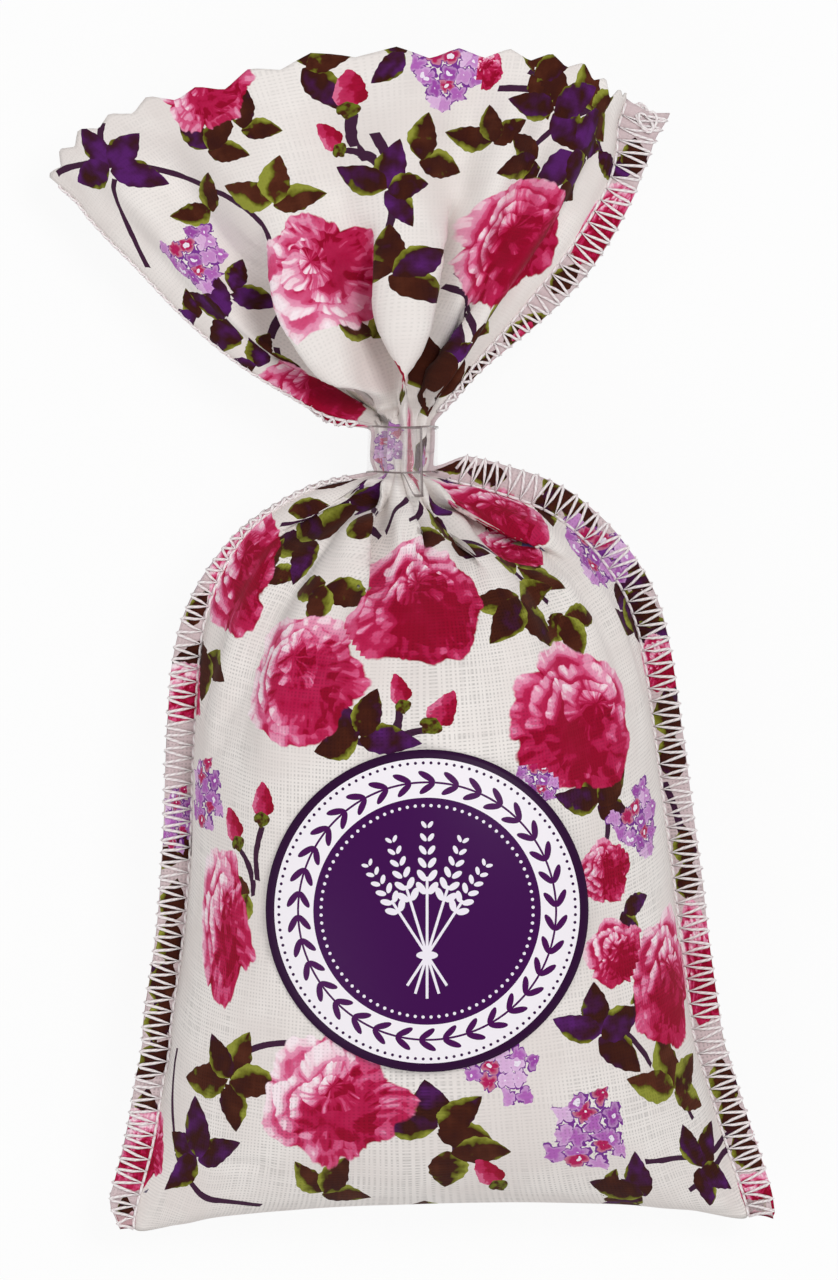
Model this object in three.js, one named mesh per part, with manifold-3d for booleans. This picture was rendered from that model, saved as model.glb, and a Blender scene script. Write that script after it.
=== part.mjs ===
import * as THREE from "three";
import { mergeVertices } from "three/addons/utils/BufferGeometryUtils.js";
import Module from "manifold-3d";

// A lavender sachet lying on its back, in millimetres.
// X runs across it, Y from its folded end to its frill and Z out of its labelled front.
// The origin is on the table, under the middle of the sachet's outline.

// Cloth, clearances and stitching
const clothThickness = 0.5;
const fitGap = 0.3;
const seamWidth = 3.6;
const stitchPitch = 1.9;
const threadDiameter = 0.36;

// The neck, where the cloth is gathered in its band
const neckX = -2.1;
const gatherY = 20.9;
const neckZ = 14.5;
const neckRadius = 4;
const fluteDepth = 0.5;
const fluteCount = 14;
const bandHeight = 5.9;
const filmThickness = 0.25;
const filmLap = 5;
const frillRise = 2.4;
const seatDepth = 2.3;
const rimWall = 0.7;

// Stations of the bag from the fold to the shoulder. Each has the height of its seams up the sachet, their
// half distance, the middle between them and their height over the table. The crown is how far the front
// swells above the seams, the depth how far the back swells below, and the bow how far the middle runs ahead.
const ears = { y: -74.2, half: 39.4, centre: 3.4, seamZ: 8, crown: 0, depth: 0, bow: 3.7 };
const hips = { y: -65.5, half: 36.4, centre: 2.7, seamZ: 10.2, crown: 13.4, depth: 7.4, bow: 1.8 };
const belly = { y: -45, half: 32, centre: 1.7, seamZ: 12.6, crown: 18.6, depth: 14, bow: 0 };
const waist = { y: -28, half: 30.1, centre: 1.4, seamZ: 13, crown: 20, depth: 14.5, bow: 0 };
const chest = { y: -8, half: 28.4, centre: 0.6, seamZ: 13.2, crown: 18.8, depth: 14, bow: -1 };
const shoulder = { y: 3.2, half: 26.3, centre: 0.6, seamZ: 13.6, crown: 16.4, depth: 12, bow: -2.6 };
const slope = { y: 9.4, half: 22.4, centre: 0.7, seamZ: 14, crown: 12.6, depth: 10, bow: -3.6 };
const collar = { y: 14.4, half: 17.4, centre: 1, seamZ: 14.3, crown: 8.6, depth: 7.8, bow: -3.6 };
const throat = { y: 17, half: 11.5, centre: 0, seamZ: 14.5, crown: 6, depth: 6, bow: -2 };
const sectionRoundness = 0.82;

// Folds in the front and the back of the cloth. Each has its place across the layer, from the left seam to
// the right, how far it drifts along the cloth, how deep it sinks or, below zero, how high it stands, and its
// half width as a share of the layer.
const bagFolds = {
  front: [
    { at: -0.85, drift: 1.1, depth: 2.6, width: 0.1 },
    { at: 0.08, drift: 0, depth: 2.4, width: 0.09 },
    { at: 0.63, drift: -0.45, depth: 1.4, width: 0.07 },
    { at: 1.7, drift: -1.08, depth: 3.4, width: 0.1 },
    { at: 0.93, drift: 0, depth: 1.8, width: 0.08 },
  ],
  back: [
    { at: 0.17, drift: 0, depth: 3, width: 0.1 },
    { at: 0.8, drift: 0, depth: 2.2, width: 0.1 },
  ],
};
const frillFolds = {
  front: [
    { at: 0.08, drift: 0, depth: 4.6, width: 0.09 },
    { at: 0.14, drift: 0.18, depth: -2.2, width: 0.08 },
    { at: 0.53, drift: -0.14, depth: 2.8, width: 0.07 },
    { at: 0.54, drift: 0, depth: -1.6, width: 0.07 },
    { at: 0.84, drift: -0.2, depth: 3, width: 0.08 },
    { at: 0.9, drift: 0, depth: 1.2, width: 0.08 },
  ],
  back: [
    { at: 0.3, drift: 0, depth: 1.4, width: 0.08 },
    { at: 0.58, drift: 0, depth: 2, width: 0.09 },
    { at: 0.9, drift: 0, depth: 3, width: 0.09 },
  ],
};

// Stations of the frill above the band, as for the bag. The tilts, from its root up, are how steeply it climbs
// from its left seam to its right.
const frillBell = { y: 31, half: 10.4, centre: -4, seamZ: 14.2, crown: 5, depth: 4.6, bow: 6 };
const frillMiddle = { y: 38.2, half: 19.4, centre: -5.4, seamZ: 13.6, crown: 6.4, depth: 6, bow: 10.8 };
const frillFlare = { y: 49.8, half: 28, centre: -6.6, seamZ: 13, crown: 7.4, depth: 7.4, bow: 12.2 };
const frillEdge = { y: 62.2, half: 36.6, centre: -8.2, seamZ: 12.4, crown: 8, depth: 8.4, bow: 12.1 };
const frillTilts = [0, 0.24, 0.13, 0.1, 0.08];
const frillRoll = 0.08;
const leftSeamTurn = -60;
const mouthStart = 0.2;

// The round label on the front
const labelDiameter = 40;
const labelThickness = 0.25;
const labelX = 1;
const labelY = -33.5;

// How finely each form is divided
const bagRows = 24;
const frillRows = 12;
const acrossBag = 22;
const acrossFrill = 26;
const labelRings = 3;
const labelSides = 36;
const bandSteps = 36;
const ballSides = 16;
const threadSides = 3;

// Places that follow from the sizes above
const flangeHalf = clothThickness;
const bandStart = gatherY + fitGap;
const frillY = bandStart + bandHeight + frillRise;
const swayPivot = new THREE.Vector3(neckX, gatherY, neckZ);
const nodPivot = new THREE.Vector3(neckX, frillY, neckZ);
const ringStation = (y, radius) => ({
  y,
  half: radius,
  centre: neckX,
  seamZ: neckZ,
  crown: radius,
  depth: radius,
  bow: 0,
});
const rim = ringStation(gatherY - seatDepth, neckRadius + rimWall);
const frillRoot = ringStation(frillY, neckRadius);
const bagStations = [ears, hips, belly, waist, chest, shoulder, slope, collar, throat, rim];
const bagTilts = bagStations.map(() => 0);
const frillStations = [frillRoot, frillBell, frillMiddle, frillFlare, frillEdge];

const wasm = await Module();
wasm.setup();

// A closed three.js geometry as a solid that can be joined and cut
function solidOf(geometry) {
  const bare = geometry.clone();
  bare.deleteAttribute("normal");
  bare.deleteAttribute("uv");
  const merged = mergeVertices(bare, 1e-4);
  return new wasm.Manifold(
    new wasm.Mesh({
      numProp: 3,
      vertProperties: new Float32Array(merged.attributes.position.array),
      triVerts: new Uint32Array(merged.index.array),
    }),
  );
}

function geometryOf(solid) {
  const mesh = solid.getMesh();
  const geometry = new THREE.BufferGeometry();
  geometry.setAttribute("position", new THREE.BufferAttribute(mesh.vertProperties, mesh.numProp));
  geometry.setIndex(new THREE.BufferAttribute(mesh.triVerts, 1));
  geometry.computeVertexNormals();
  return geometry;
}

function indexedGeometry(points, faces) {
  const geometry = new THREE.BufferGeometry();
  const flat = points.flatMap((point) => [point.x, point.y, point.z]);
  geometry.setAttribute("position", new THREE.Float32BufferAttribute(flat, 3));
  geometry.setIndex(faces);
  geometry.computeVertexNormals();
  return geometry;
}

// Rings of equal count, each its front from left to right and then its back from right to left
function loft(rings) {
  const count = rings[0].length;
  const faces = [];
  const quad = (a, b, c, d) => faces.push(a, b, c, a, c, d);
  for (let row = 0; row + 1 < rings.length; row++) {
    for (let i = 0; i < count; i++) {
      const next = (i + 1) % count;
      quad(row * count + i, row * count + next, (row + 1) * count + next, (row + 1) * count + i);
    }
  }
  const top = (rings.length - 1) * count;
  for (let i = 0; i + 1 < count / 2; i++) {
    const mate = count - 1 - i;
    quad(i, mate, mate - 1, i + 1);
    quad(top + i, top + i + 1, top + mate - 1, top + mate);
  }
  return indexedGeometry(rings.flat(), faces);
}

// The two seam lines and the swell of a bag or frill, as curves through its stations
function outlineOf(stations, tilts, roll) {
  const seamOn = (side) =>
    new THREE.CatmullRomCurve3(
      stations.map((s, i) => {
        const reach = side * s.half;
        return new THREE.Vector3(s.centre + reach, s.y + reach * tilts[i], s.seamZ + reach * roll);
      }),
    );
  const swell = new THREE.CatmullRomCurve3(
    stations.map((s) => new THREE.Vector3(s.crown, s.depth, s.bow)),
  );
  return { left: seamOn(-1), right: seamOn(1), swell };
}

// Directions at a seam: along it, out across its flange and up from the flange's front
function seamFrame(curve, u, side, turn = 0) {
  const along = curve.getTangent(u);
  const out = new THREE.Vector3(side * along.y, -side * along.x, 0).normalize();
  const up = new THREE.Vector3().crossVectors(out, along).multiplyScalar(side).normalize();
  const angle = THREE.MathUtils.degToRad(turn);
  const turnedOut = out.clone().multiplyScalar(Math.cos(angle)).addScaledVector(up, Math.sin(angle));
  const turnedUp = up.clone().multiplyScalar(Math.cos(angle)).addScaledVector(out, -Math.sin(angle));
  return { at: curve.getPoint(u), along, out: turnedOut, up: turnedUp };
}

// The seams' overlocked edges narrow to nothing where the cloth is drawn into the neck
function bagFlange(u) {
  return seamWidth * THREE.MathUtils.smoothstep(1 - u, 0.06, 0.2) + fitGap;
}

function frillFlange(u) {
  return seamWidth * THREE.MathUtils.smoothstep(u, 0.04, 0.2) + fitGap;
}

function foldDepth(folds, across, u) {
  const sunk = (fold) => {
    const away = (across - fold.at - fold.drift * u) / fold.width;
    return fold.depth * Math.exp(-(away ** 2));
  };
  return folds.reduce((total, fold) => total + sunk(fold), 0);
}

function bagGather(across, u, front) {
  const grown = THREE.MathUtils.smoothstep(u, 0.42, 0.7) * THREE.MathUtils.smoothstep(1 - u, 0.02, 0.2);
  return -grown * foldDepth(front ? bagFolds.front : bagFolds.back, across, u);
}

function frillGather(across, u, front) {
  const grown = THREE.MathUtils.smoothstep(u, 0.1, 0.34);
  const eased = 1 - 0.35 * THREE.MathUtils.smoothstep(u, 0.7, 1);
  return -grown * eased * foldDepth(front ? frillFolds.front : frillFolds.back, across, u);
}

// One layer of cloth across a row, from the left seam to the right
function layerPoint(outline, u, share, front, inset, gather, edgeHalf) {
  const angle = Math.PI * share;
  const round = THREE.MathUtils.lerp(sectionRoundness, 1, THREE.MathUtils.smoothstep(u, 0.85, 1));
  const cosine = Math.cos(angle);
  const across = (1 - Math.sign(cosine) * Math.abs(cosine) ** round) / 2;
  const height = Math.sin(angle) ** round;
  const left = outline.left.getPoint(u);
  const right = outline.right.getPoint(u);
  const swell = outline.swell.getPoint(u);
  const span = left.distanceTo(right);
  const sewn = (2 * inset) / span;
  const shrunk = THREE.MathUtils.lerp(sewn, 1 - sewn, across);
  const point = left.lerp(right, shrunk);
  point.y += swell.z * 4 * across * (1 - across);
  const rise = front ? swell.x : swell.y;
  const offset = Math.max(rise - inset, 0) * height + edgeHalf + gather(across, u, front) * height;
  point.z += front ? offset : -offset;
  point.z = Math.max(point.z, inset);
  return point;
}

function layer(outline, u, pieces, front, inset, gather, edgeHalf) {
  const points = [];
  for (let i = 0; i <= pieces; i++) {
    points.push(layerPoint(outline, u, i / pieces, front, inset, gather, edgeHalf));
  }
  return points;
}

// The outside of the cloth, with the two overlocked flanges at its seams
function outsideRing(outline, u, pieces, gather, flange, leftTurn) {
  const front = layer(outline, u, pieces, true, 0, gather, flangeHalf);
  const back = layer(outline, u, pieces, false, 0, gather, flangeHalf).reverse();
  const tip = (curve, side, turn, face) => {
    const frame = seamFrame(curve, u, side, turn);
    return frame.at.addScaledVector(frame.out, flange(u)).addScaledVector(frame.up, face * flangeHalf);
  };
  const leftTips = [1, -1].map((face) => tip(outline.left, -1, leftTurn, face));
  const rightTips = [1, -1].map((face) => tip(outline.right, 1, 0, face));
  return [leftTips[0], ...front, rightTips[0], rightTips[1], ...back, leftTips[1]];
}

// The space inside the cloth, or what fills it, with the thickness that is left to it at the seams
function insideRing(outline, u, pieces, gather, inset, edgeHalf) {
  const front = layer(outline, u, pieces, true, inset, gather, edgeHalf);
  const back = layer(outline, u, pieces, false, inset, gather, edgeHalf).reverse();
  return [...front, ...back];
}

function rowsBetween(first, last, count, makeRing) {
  const rings = [];
  for (let row = 0; row <= count; row++) {
    rings.push(makeRing(THREE.MathUtils.lerp(first, last, row / count)));
  }
  return rings;
}

function ball(centre, radius) {
  const geometry = new THREE.SphereGeometry(radius, ballSides, ballSides / 2);
  return solidOf(geometry.translate(centre.x, centre.y, centre.z));
}

// Rows drawn in from both ends of the bag, so that the cloth keeps its thickness there
function drawnIn(rings, inset) {
  const middle = (ears.y + rim.y) / 2;
  const share = 1 - (2 * inset) / (rim.y - ears.y);
  rings.flat().forEach((point) => {
    point.y = middle + (point.y - middle) * share;
  });
  return rings;
}

const bag = outlineOf(bagStations, bagTilts, 0);
const frill = outlineOf(frillStations, frillTilts, frillRoll);
const endInset = 2 * clothThickness;
const seatBall = ball(swayPivot, neckRadius + fitGap);

function bagInside(inset, edgeHalf) {
  const makeRing = (u) => insideRing(bag, u, acrossBag, bagGather, inset, edgeHalf);
  return solidOf(loft(drawnIn(rowsBetween(0.03, 1, bagRows, makeRing), endInset + inset)));
}

function bagCloth() {
  const outside = rowsBetween(0, 1, bagRows, (u) => outsideRing(bag, u, acrossBag, bagGather, bagFlange, 0));
  const hollow = bagInside(clothThickness, fitGap);
  return geometryOf(solidOf(loft(outside)).subtract(hollow).subtract(seatBall));
}

function lavenderFill() {
  return geometryOf(bagInside(clothThickness + fitGap, fitGap / 3).subtract(seatBall));
}

// Height of the bag's front over the table at a place on it
function frontHeight(x, y) {
  let low = 0;
  let high = 1;
  let point = new THREE.Vector3();
  for (let step = 0; step < 24; step++) {
    const u = (low + high) / 2;
    const left = bag.left.getPoint(u);
    const right = bag.right.getPoint(u);
    const across = THREE.MathUtils.clamp((x - left.x) / (right.x - left.x), 0, 1);
    const cosine = 1 - 2 * across;
    const share = Math.acos(Math.sign(cosine) * Math.abs(cosine) ** (1 / sectionRoundness)) / Math.PI;
    point = layerPoint(bag, u, share, true, 0, bagGather, flangeHalf);
    if (point.y < y) low = u;
    else high = u;
  }
  return point.z;
}

function roundLabel() {
  const points = [];
  const faces = [];
  const perFace = 1 + labelRings * labelSides;
  for (const lift of [fitGap, fitGap + labelThickness]) {
    points.push(new THREE.Vector3(labelX, labelY, frontHeight(labelX, labelY) + lift));
    for (let ring = 1; ring <= labelRings; ring++) {
      for (let side = 0; side < labelSides; side++) {
        const angle = (2 * Math.PI * side) / labelSides;
        const reach = ((labelDiameter / 2) * ring) / labelRings;
        const x = labelX + reach * Math.cos(angle);
        const y = labelY + reach * Math.sin(angle);
        points.push(new THREE.Vector3(x, y, frontHeight(x, y) + lift));
      }
    }
  }
  const at = (face, ring, side) => face * perFace + 1 + (ring - 1) * labelSides + (side % labelSides);
  for (let side = 0; side < labelSides; side++) {
    faces.push(0, at(0, 1, side + 1), at(0, 1, side));
    faces.push(perFace, at(1, 1, side), at(1, 1, side + 1));
    for (let ring = 1; ring < labelRings; ring++) {
      const next = ring + 1;
      const under = [at(0, ring, side), at(0, ring, side + 1), at(0, next, side + 1), at(0, next, side)];
      const over = under.map((index) => index + perFace);
      faces.push(under[0], under[1], under[2], under[0], under[2], under[3]);
      faces.push(over[0], over[2], over[1], over[0], over[3], over[2]);
    }
    const rimUnder = [at(0, labelRings, side), at(0, labelRings, side + 1)];
    const rimOver = rimUnder.map((index) => index + perFace);
    faces.push(rimUnder[0], rimUnder[1], rimOver[1], rimUnder[0], rimOver[1], rimOver[0]);
  }
  return indexedGeometry(points, faces);
}

// A thread along straight runs between points, with flat ends
function thread(points, ups) {
  const rings = points.map((point, i) => {
    const before = points[Math.max(i - 1, 0)];
    const after = points[Math.min(i + 1, points.length - 1)];
    const along = after.clone().sub(before).normalize();
    const across = new THREE.Vector3().crossVectors(ups[i], along).normalize();
    const up = new THREE.Vector3().crossVectors(along, across);
    return Array.from({ length: threadSides }, (_, side) => {
      const angle = (2 * Math.PI * side) / threadSides + Math.PI / 2;
      return point
        .clone()
        .addScaledVector(across, (threadDiameter / 2) * Math.cos(angle))
        .addScaledVector(up, (threadDiameter / 2) * Math.sin(angle));
    });
  });
  const faces = [];
  for (let ring = 0; ring + 1 < rings.length; ring++) {
    for (let side = 0; side < threadSides; side++) {
      const a = ring * threadSides + side;
      const b = ring * threadSides + ((side + 1) % threadSides);
      faces.push(a, b, b + threadSides, a, b + threadSides, a + threadSides);
    }
  }
  const last = (rings.length - 1) * threadSides;
  for (let side = 1; side + 1 < threadSides; side++) {
    faces.push(0, side + 1, side);
    faces.push(last, last + side, last + side + 1);
  }
  return indexedGeometry(rings.flat(), faces);
}

// Points that follow an overlocked seam. Each place gives how far out on the flange the thread lies there.
function seamThread(curve, side, turn, first, last, flange, face, places) {
  const steps = Math.round(((last - first) * curve.getLength()) / stitchPitch) * places.length;
  const lift = flangeHalf + fitGap + threadDiameter / 2;
  const points = [];
  const ups = [];
  for (let step = 0; step <= steps; step++) {
    const u = curve.getUtoTmapping(THREE.MathUtils.lerp(first, last, step / steps));
    const frame = seamFrame(curve, u, side, turn);
    const reach = flange(u) * places[step % places.length];
    points.push(frame.at.addScaledVector(frame.out, reach).addScaledVector(frame.up, face * lift));
    ups.push(frame.up);
  }
  return thread(points, ups);
}

// Film wound once round the neck, its end lapped over its start
function neckBand() {
  const inner = neckRadius + fitGap;
  const lapAngle = filmLap / inner;
  const sweep = 2 * Math.PI + lapAngle;
  const rings = rowsBetween(0, 1, bandSteps, (share) => {
    const angle = Math.PI / 2 - lapAngle / 2 + share * sweep;
    const lapped = THREE.MathUtils.smoothstep(share, 0.5, 1 - lapAngle / sweep);
    const start = inner + (filmThickness + fitGap) * lapped;
    const corner = (radius, y) =>
      new THREE.Vector3(neckX + radius * Math.cos(angle), y, neckZ + radius * Math.sin(angle));
    const low = bandStart;
    const high = bandStart + bandHeight;
    const outer = start + filmThickness;
    return [corner(start, low), corner(outer, low), corner(outer, high), corner(start, high)];
  });
  return loft(rings);
}

function neckGather() {
  const high = frillY - seatDepth;
  const sides = fluteCount * 4;
  const ring = (y) =>
    Array.from({ length: sides }, (_, side) => {
      const angle = Math.PI - (2 * Math.PI * (side + 0.5)) / sides;
      const flute = 0.5 - 0.5 * Math.cos((2 * Math.PI * side * fluteCount) / sides);
      const radius = neckRadius - fluteDepth * flute;
      return new THREE.Vector3(neckX + radius * Math.cos(angle), y, neckZ + radius * Math.sin(angle));
    });
  const stem = solidOf(loft([ring(gatherY), ring(high)]));
  return geometryOf(stem.add(ball(swayPivot, neckRadius)).subtract(ball(nodPivot, neckRadius + fitGap)));
}

function frillCloth() {
  const outside = rowsBetween(0, 1, frillRows, (u) =>
    outsideRing(frill, u, acrossFrill, frillGather, frillFlange, leftSeamTurn),
  );
  const inside = rowsBetween(mouthStart, 1, frillRows, (u) =>
    insideRing(frill, u, acrossFrill, frillGather, clothThickness, fitGap),
  );
  const beyond = inside[inside.length - 1].map((point) => point.clone().setY(point.y + seamWidth));
  const shell = solidOf(loft(outside)).subtract(solidOf(loft([...inside, beyond])));
  return geometryOf(shell.add(ball(nodPivot, neckRadius)));
}

const cotton = { color: 0xe6e0dc, roughness: 0.9, metalness: 0 };
const sewingThread = { color: 0xf3e9ea, roughness: 0.7, metalness: 0 };
const lavender = { color: 0x6d5a86, roughness: 0.95, metalness: 0 };
const paper = { color: 0x45106a, roughness: 0.45, metalness: 0 };
const film = { color: 0xeef2f2, roughness: 0.15, metalness: 0, transparent: true, opacity: 0.4 };

const sachet = new THREE.Group();

function place(name, geometry, look) {
  const mesh = new THREE.Mesh(geometry, new THREE.MeshStandardMaterial(look));
  mesh.name = name;
  sachet.add(mesh);
}

place("bag_cloth", bagCloth(), cotton);
place("lavender_fill", lavenderFill(), lavender);
place("round_label", roundLabel(), paper);
place("neck_gather", neckGather(), cotton);
place("neck_band", neckBand(), film);
place("frill_cloth", frillCloth(), cotton);

// Where each thread of an overlock lies across the flange, as a share of its width, and on which face
const overlock = [
  { thread: "needle_thread", places: [0.16], face: 1 },
  { thread: "front_looper_thread", places: [0.38, 0.94], face: 1 },
  { thread: "back_looper_thread", places: [0.38, 0.94], face: -1 },
];
const frillSpan = [0.2, 0.985];
const seams = [
  { name: "left", curve: bag.left, side: -1, turn: 0, span: [0.012, 0.86], flange: bagFlange },
  { name: "right", curve: bag.right, side: 1, turn: 0, span: [0.012, 0.86], flange: bagFlange },
  {
    name: "frill_left",
    curve: frill.left,
    side: -1,
    turn: leftSeamTurn,
    span: frillSpan,
    flange: frillFlange,
  },
  { name: "frill_right", curve: frill.right, side: 1, turn: 0, span: frillSpan, flange: frillFlange },
];
for (const seam of seams) {
  for (const kind of overlock) {
    const [first, last] = seam.span;
    const geometry = seamThread(
      seam.curve, seam.side, seam.turn, first, last, seam.flange, kind.face, kind.places,
    );
    place(seam.name + "_" + kind.thread, geometry, sewingThread);
  }
}

export default sachet;
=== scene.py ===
import math
import bpy
import numpy as np
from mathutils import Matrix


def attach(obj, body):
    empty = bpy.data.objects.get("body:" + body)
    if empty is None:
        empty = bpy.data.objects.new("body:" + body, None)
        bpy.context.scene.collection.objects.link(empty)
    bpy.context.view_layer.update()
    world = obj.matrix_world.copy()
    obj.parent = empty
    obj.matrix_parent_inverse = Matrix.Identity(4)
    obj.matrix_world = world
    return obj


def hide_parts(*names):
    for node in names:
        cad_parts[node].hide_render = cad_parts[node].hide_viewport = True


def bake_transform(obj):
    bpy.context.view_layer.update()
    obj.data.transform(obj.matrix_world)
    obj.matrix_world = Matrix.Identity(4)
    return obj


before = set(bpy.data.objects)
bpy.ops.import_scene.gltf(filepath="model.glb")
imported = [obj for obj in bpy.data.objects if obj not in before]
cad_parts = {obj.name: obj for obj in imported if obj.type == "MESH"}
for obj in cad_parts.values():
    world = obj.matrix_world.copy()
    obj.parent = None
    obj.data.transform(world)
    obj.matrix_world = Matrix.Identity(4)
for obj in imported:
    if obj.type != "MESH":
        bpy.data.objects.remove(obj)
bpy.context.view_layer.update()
mm = 0.001
draw = np.random.default_rng(11)
print("frame loaded,", len(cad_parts), "nodes")


# Small tools

def linear(code):
    # sRGB hex to linear light
    shares = [int(code[i:i + 2], 16) / 255 for i in (1, 3, 5)]
    return [c / 12.92 if c <= 0.04045 else ((c + 0.055) / 1.055) ** 2.4 for c in shares] + [1.0]


def addNode(tree, kind, inputs=None, out=0, stops=None, **settings):
    # a node with its settings and links; gives back one of its outputs
    node = tree.nodes.new("ShaderNode" + kind)
    for name, value in settings.items():
        setattr(node, name, value)
    if stops:
        ramp = node.color_ramp.elements
        while len(ramp) < len(stops):
            ramp.new(1.0)
        for element, (place, code) in zip(ramp, stops):
            element.position = place
            element.color = linear(code)
    for key, value in (inputs or {}).items():
        if isinstance(value, bpy.types.NodeSocket):
            tree.links.new(value, node.inputs[key])
        else:
            node.inputs[key].default_value = value
    return node.outputs[out] if len(node.outputs) else node


def newMaterial(name):
    material = bpy.data.materials.new(name)
    material.use_nodes = True
    material.node_tree.nodes.clear()
    return material, material.node_tree


def smoothStep(x, low, high):
    t = np.clip((np.asarray(x, float) - low) / (high - low), 0, 1)
    return t * t * (3 - 2 * t)


def unit(vectors):
    return vectors / (np.linalg.norm(vectors, axis=-1, keepdims=True) + 1e-12)


def curveThrough(points, perSpan=24):
    # a Catmull-Rom line through given points
    p = np.asarray(points, float)
    p = np.vstack([2 * p[0] - p[1], p, 2 * p[-1] - p[-2]])
    t = np.linspace(0, 1, perSpan, endpoint=False)[:, None]
    spans = []
    for a, b, c, d in zip(p, p[1:], p[2:], p[3:]):
        square = (2 * a - 5 * b + 4 * c - d) * t ** 2
        cube = (3 * b - a - 3 * c + d) * t ** 3
        spans.append(0.5 * (2 * b + (c - a) * t + square + cube))
    return np.vstack(spans + [p[-2:-1]])


def lengthsAlong(line):
    return np.r_[0, np.cumsum(np.linalg.norm(np.diff(line, axis=0), axis=1))]


def atLengths(line, lengths):
    steps = lengthsAlong(line)
    return np.stack([np.interp(lengths, steps, line[:, k]) for k in range(line.shape[1])], 1)


def refined(grid):
    # a grid with a new point halfway along every step, on a smooth curve through its neighbours
    for axis in (0, 1):
        g = np.moveaxis(grid, axis, 0)
        padded = np.concatenate([2 * g[:1] - g[1:2], g, 2 * g[-1:] - g[-2:-1]])
        middle = (9 * (padded[1:-2] + padded[2:-1]) - padded[:-3] - padded[3:]) / 16
        fine = np.empty((2 * len(g) - 1,) + g.shape[1:])
        fine[0::2] = g
        fine[1::2] = middle
        grid = np.moveaxis(fine, 0, axis)
    return grid


def gridNormals(grid):
    return unit(np.cross(np.gradient(grid, axis=1), np.gradient(grid, axis=0)))


def gridFaces(rows, cols, start=0, turned=False):
    corner = start + np.arange((rows - 1) * cols).reshape(rows - 1, cols)[:, :-1].ravel()
    faces = np.stack([corner, corner + 1, corner + cols + 1, corner + cols], 1)
    return faces[:, ::-1] if turned else faces


def squareAt(half, z):
    return [(-half, -half, z), (half, -half, z), (half, half, z), (-half, half, z)]


def slabFaces(rows, cols, start=0):
    # the outside, the inside and the rim of a sheet whose inside points follow its outside points
    under = start + rows * cols
    number = np.arange(rows * cols).reshape(rows, cols)
    edge = np.concatenate([number[0, :-1], number[:-1, -1], number[-1, :0:-1], number[:0:-1, 0]])
    after = np.roll(edge, -1)
    rim = np.stack([start + edge, under + edge, under + after, start + after], 1)
    return [gridFaces(rows, cols, start), gridFaces(rows, cols, under, turned=True), rim]


def tubeFaces(number):
    # faces round a tube, from its rings of point numbers
    beside = np.roll(number, -1, 1)
    return np.stack([number[:-1], beside[:-1], beside[1:], number[1:]], -1).reshape(-1, 4)


def meshPiece(name, points, faces, materials, smooth=True):
    mesh = bpy.data.meshes.new(name)
    faces = faces.tolist() if isinstance(faces, np.ndarray) else faces
    mesh.from_pydata((np.asarray(points) * mm).tolist(), [], faces)
    for material in materials:
        mesh.materials.append(material)
    if smooth:
        mesh.shade_smooth()
    piece = bpy.data.objects.new(name, mesh)
    bpy.context.scene.collection.objects.link(piece)
    return piece


def spreadMap(piece, name, spots):
    # a UV map from one place for each vertex
    where = np.zeros(len(piece.data.loops), np.int32)
    piece.data.loops.foreach_get("vertex_index", where)
    piece.data.uv_layers.new(name=name).uv.foreach_set("vector", spots[where].astype(np.float32).ravel())


# The strip of cloth: how it was cut, and the lines it was sewn and tied along

cut = {
    "needle": 39.4,       # half the width between the two needle lines, mm
    "allowance": 3.6,     # from the needle line to the raw edge
    "bandLow": 106.0,     # along the cloth from the bottom fold to the band
    "bandHigh": 112.0,
    "top": 161.0,         # to the pinked edge
    "columns": 60,
    "rows": 120,
    "roundness": 0.85,
    "thickness": 0.3,
}
leastHeight = {"sewn": 0.4, "cloth": 0.35, "inside": 0.05, "fill": 0.8}     # over the surface, mm
split = (cut["bandLow"] + cut["bandHigh"]) / 2

# where the lines of the strip run on the finished sachet (x, y, z in mm)
bagLines = {
    "left": [
        (-36, -74.4, 7.5), (-32.7, -64, 10.5), (-31.4, -52, 12.2), (-29.1, -40, 13), (-27.7, -28, 13.2),
        (-26.9, -14, 13.2), (-26.2, -2.4, 13.4), (-25.1, 4, 13.7), (-22.6, 10, 14), (-18.9, 14.8, 14.3),
        (-12.4, 18.8, 14.5), (-4.5, 20.9, 14.5)],
    "right": [
        (41.6, -72.8, 7.5), (38, -63.5, 10.5), (35, -52, 12.2), (32.6, -40, 13), (30.9, -28, 13.2),
        (28.8, -14, 13.2), (27.1, -2, 13.4), (25.3, 4.4, 13.7), (22.8, 8.8, 14), (19, 13.2, 14.3),
        (13.2, 17, 14.5), (0.3, 20.9, 14.5)],
    "front": [
        (3.2, -70.6, 7.8), (2.4, -61.2, 24.8), (1.7, -45, 31.2), (1.4, -28, 33), (0.6, -9, 32),
        (0.6, 0.6, 29.8), (0.7, 5.8, 27.2), (1, 10.8, 24.3), (0, 16.1, 21.5), (-2.1, 20.9, 16.9)],
    "back": [
        (3.2, -70.6, 7.2), (2.4, -61.2, 1.2), (1.7, -45, 0.5), (1.4, -28, 0.5), (0.6, -9, 0.6),
        (0.6, 0.6, 1.6), (0.7, 5.8, 3.4), (1, 10.8, 5.7), (0, 16.1, 7.9), (-2.1, 20.9, 12.1)],
}
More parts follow.
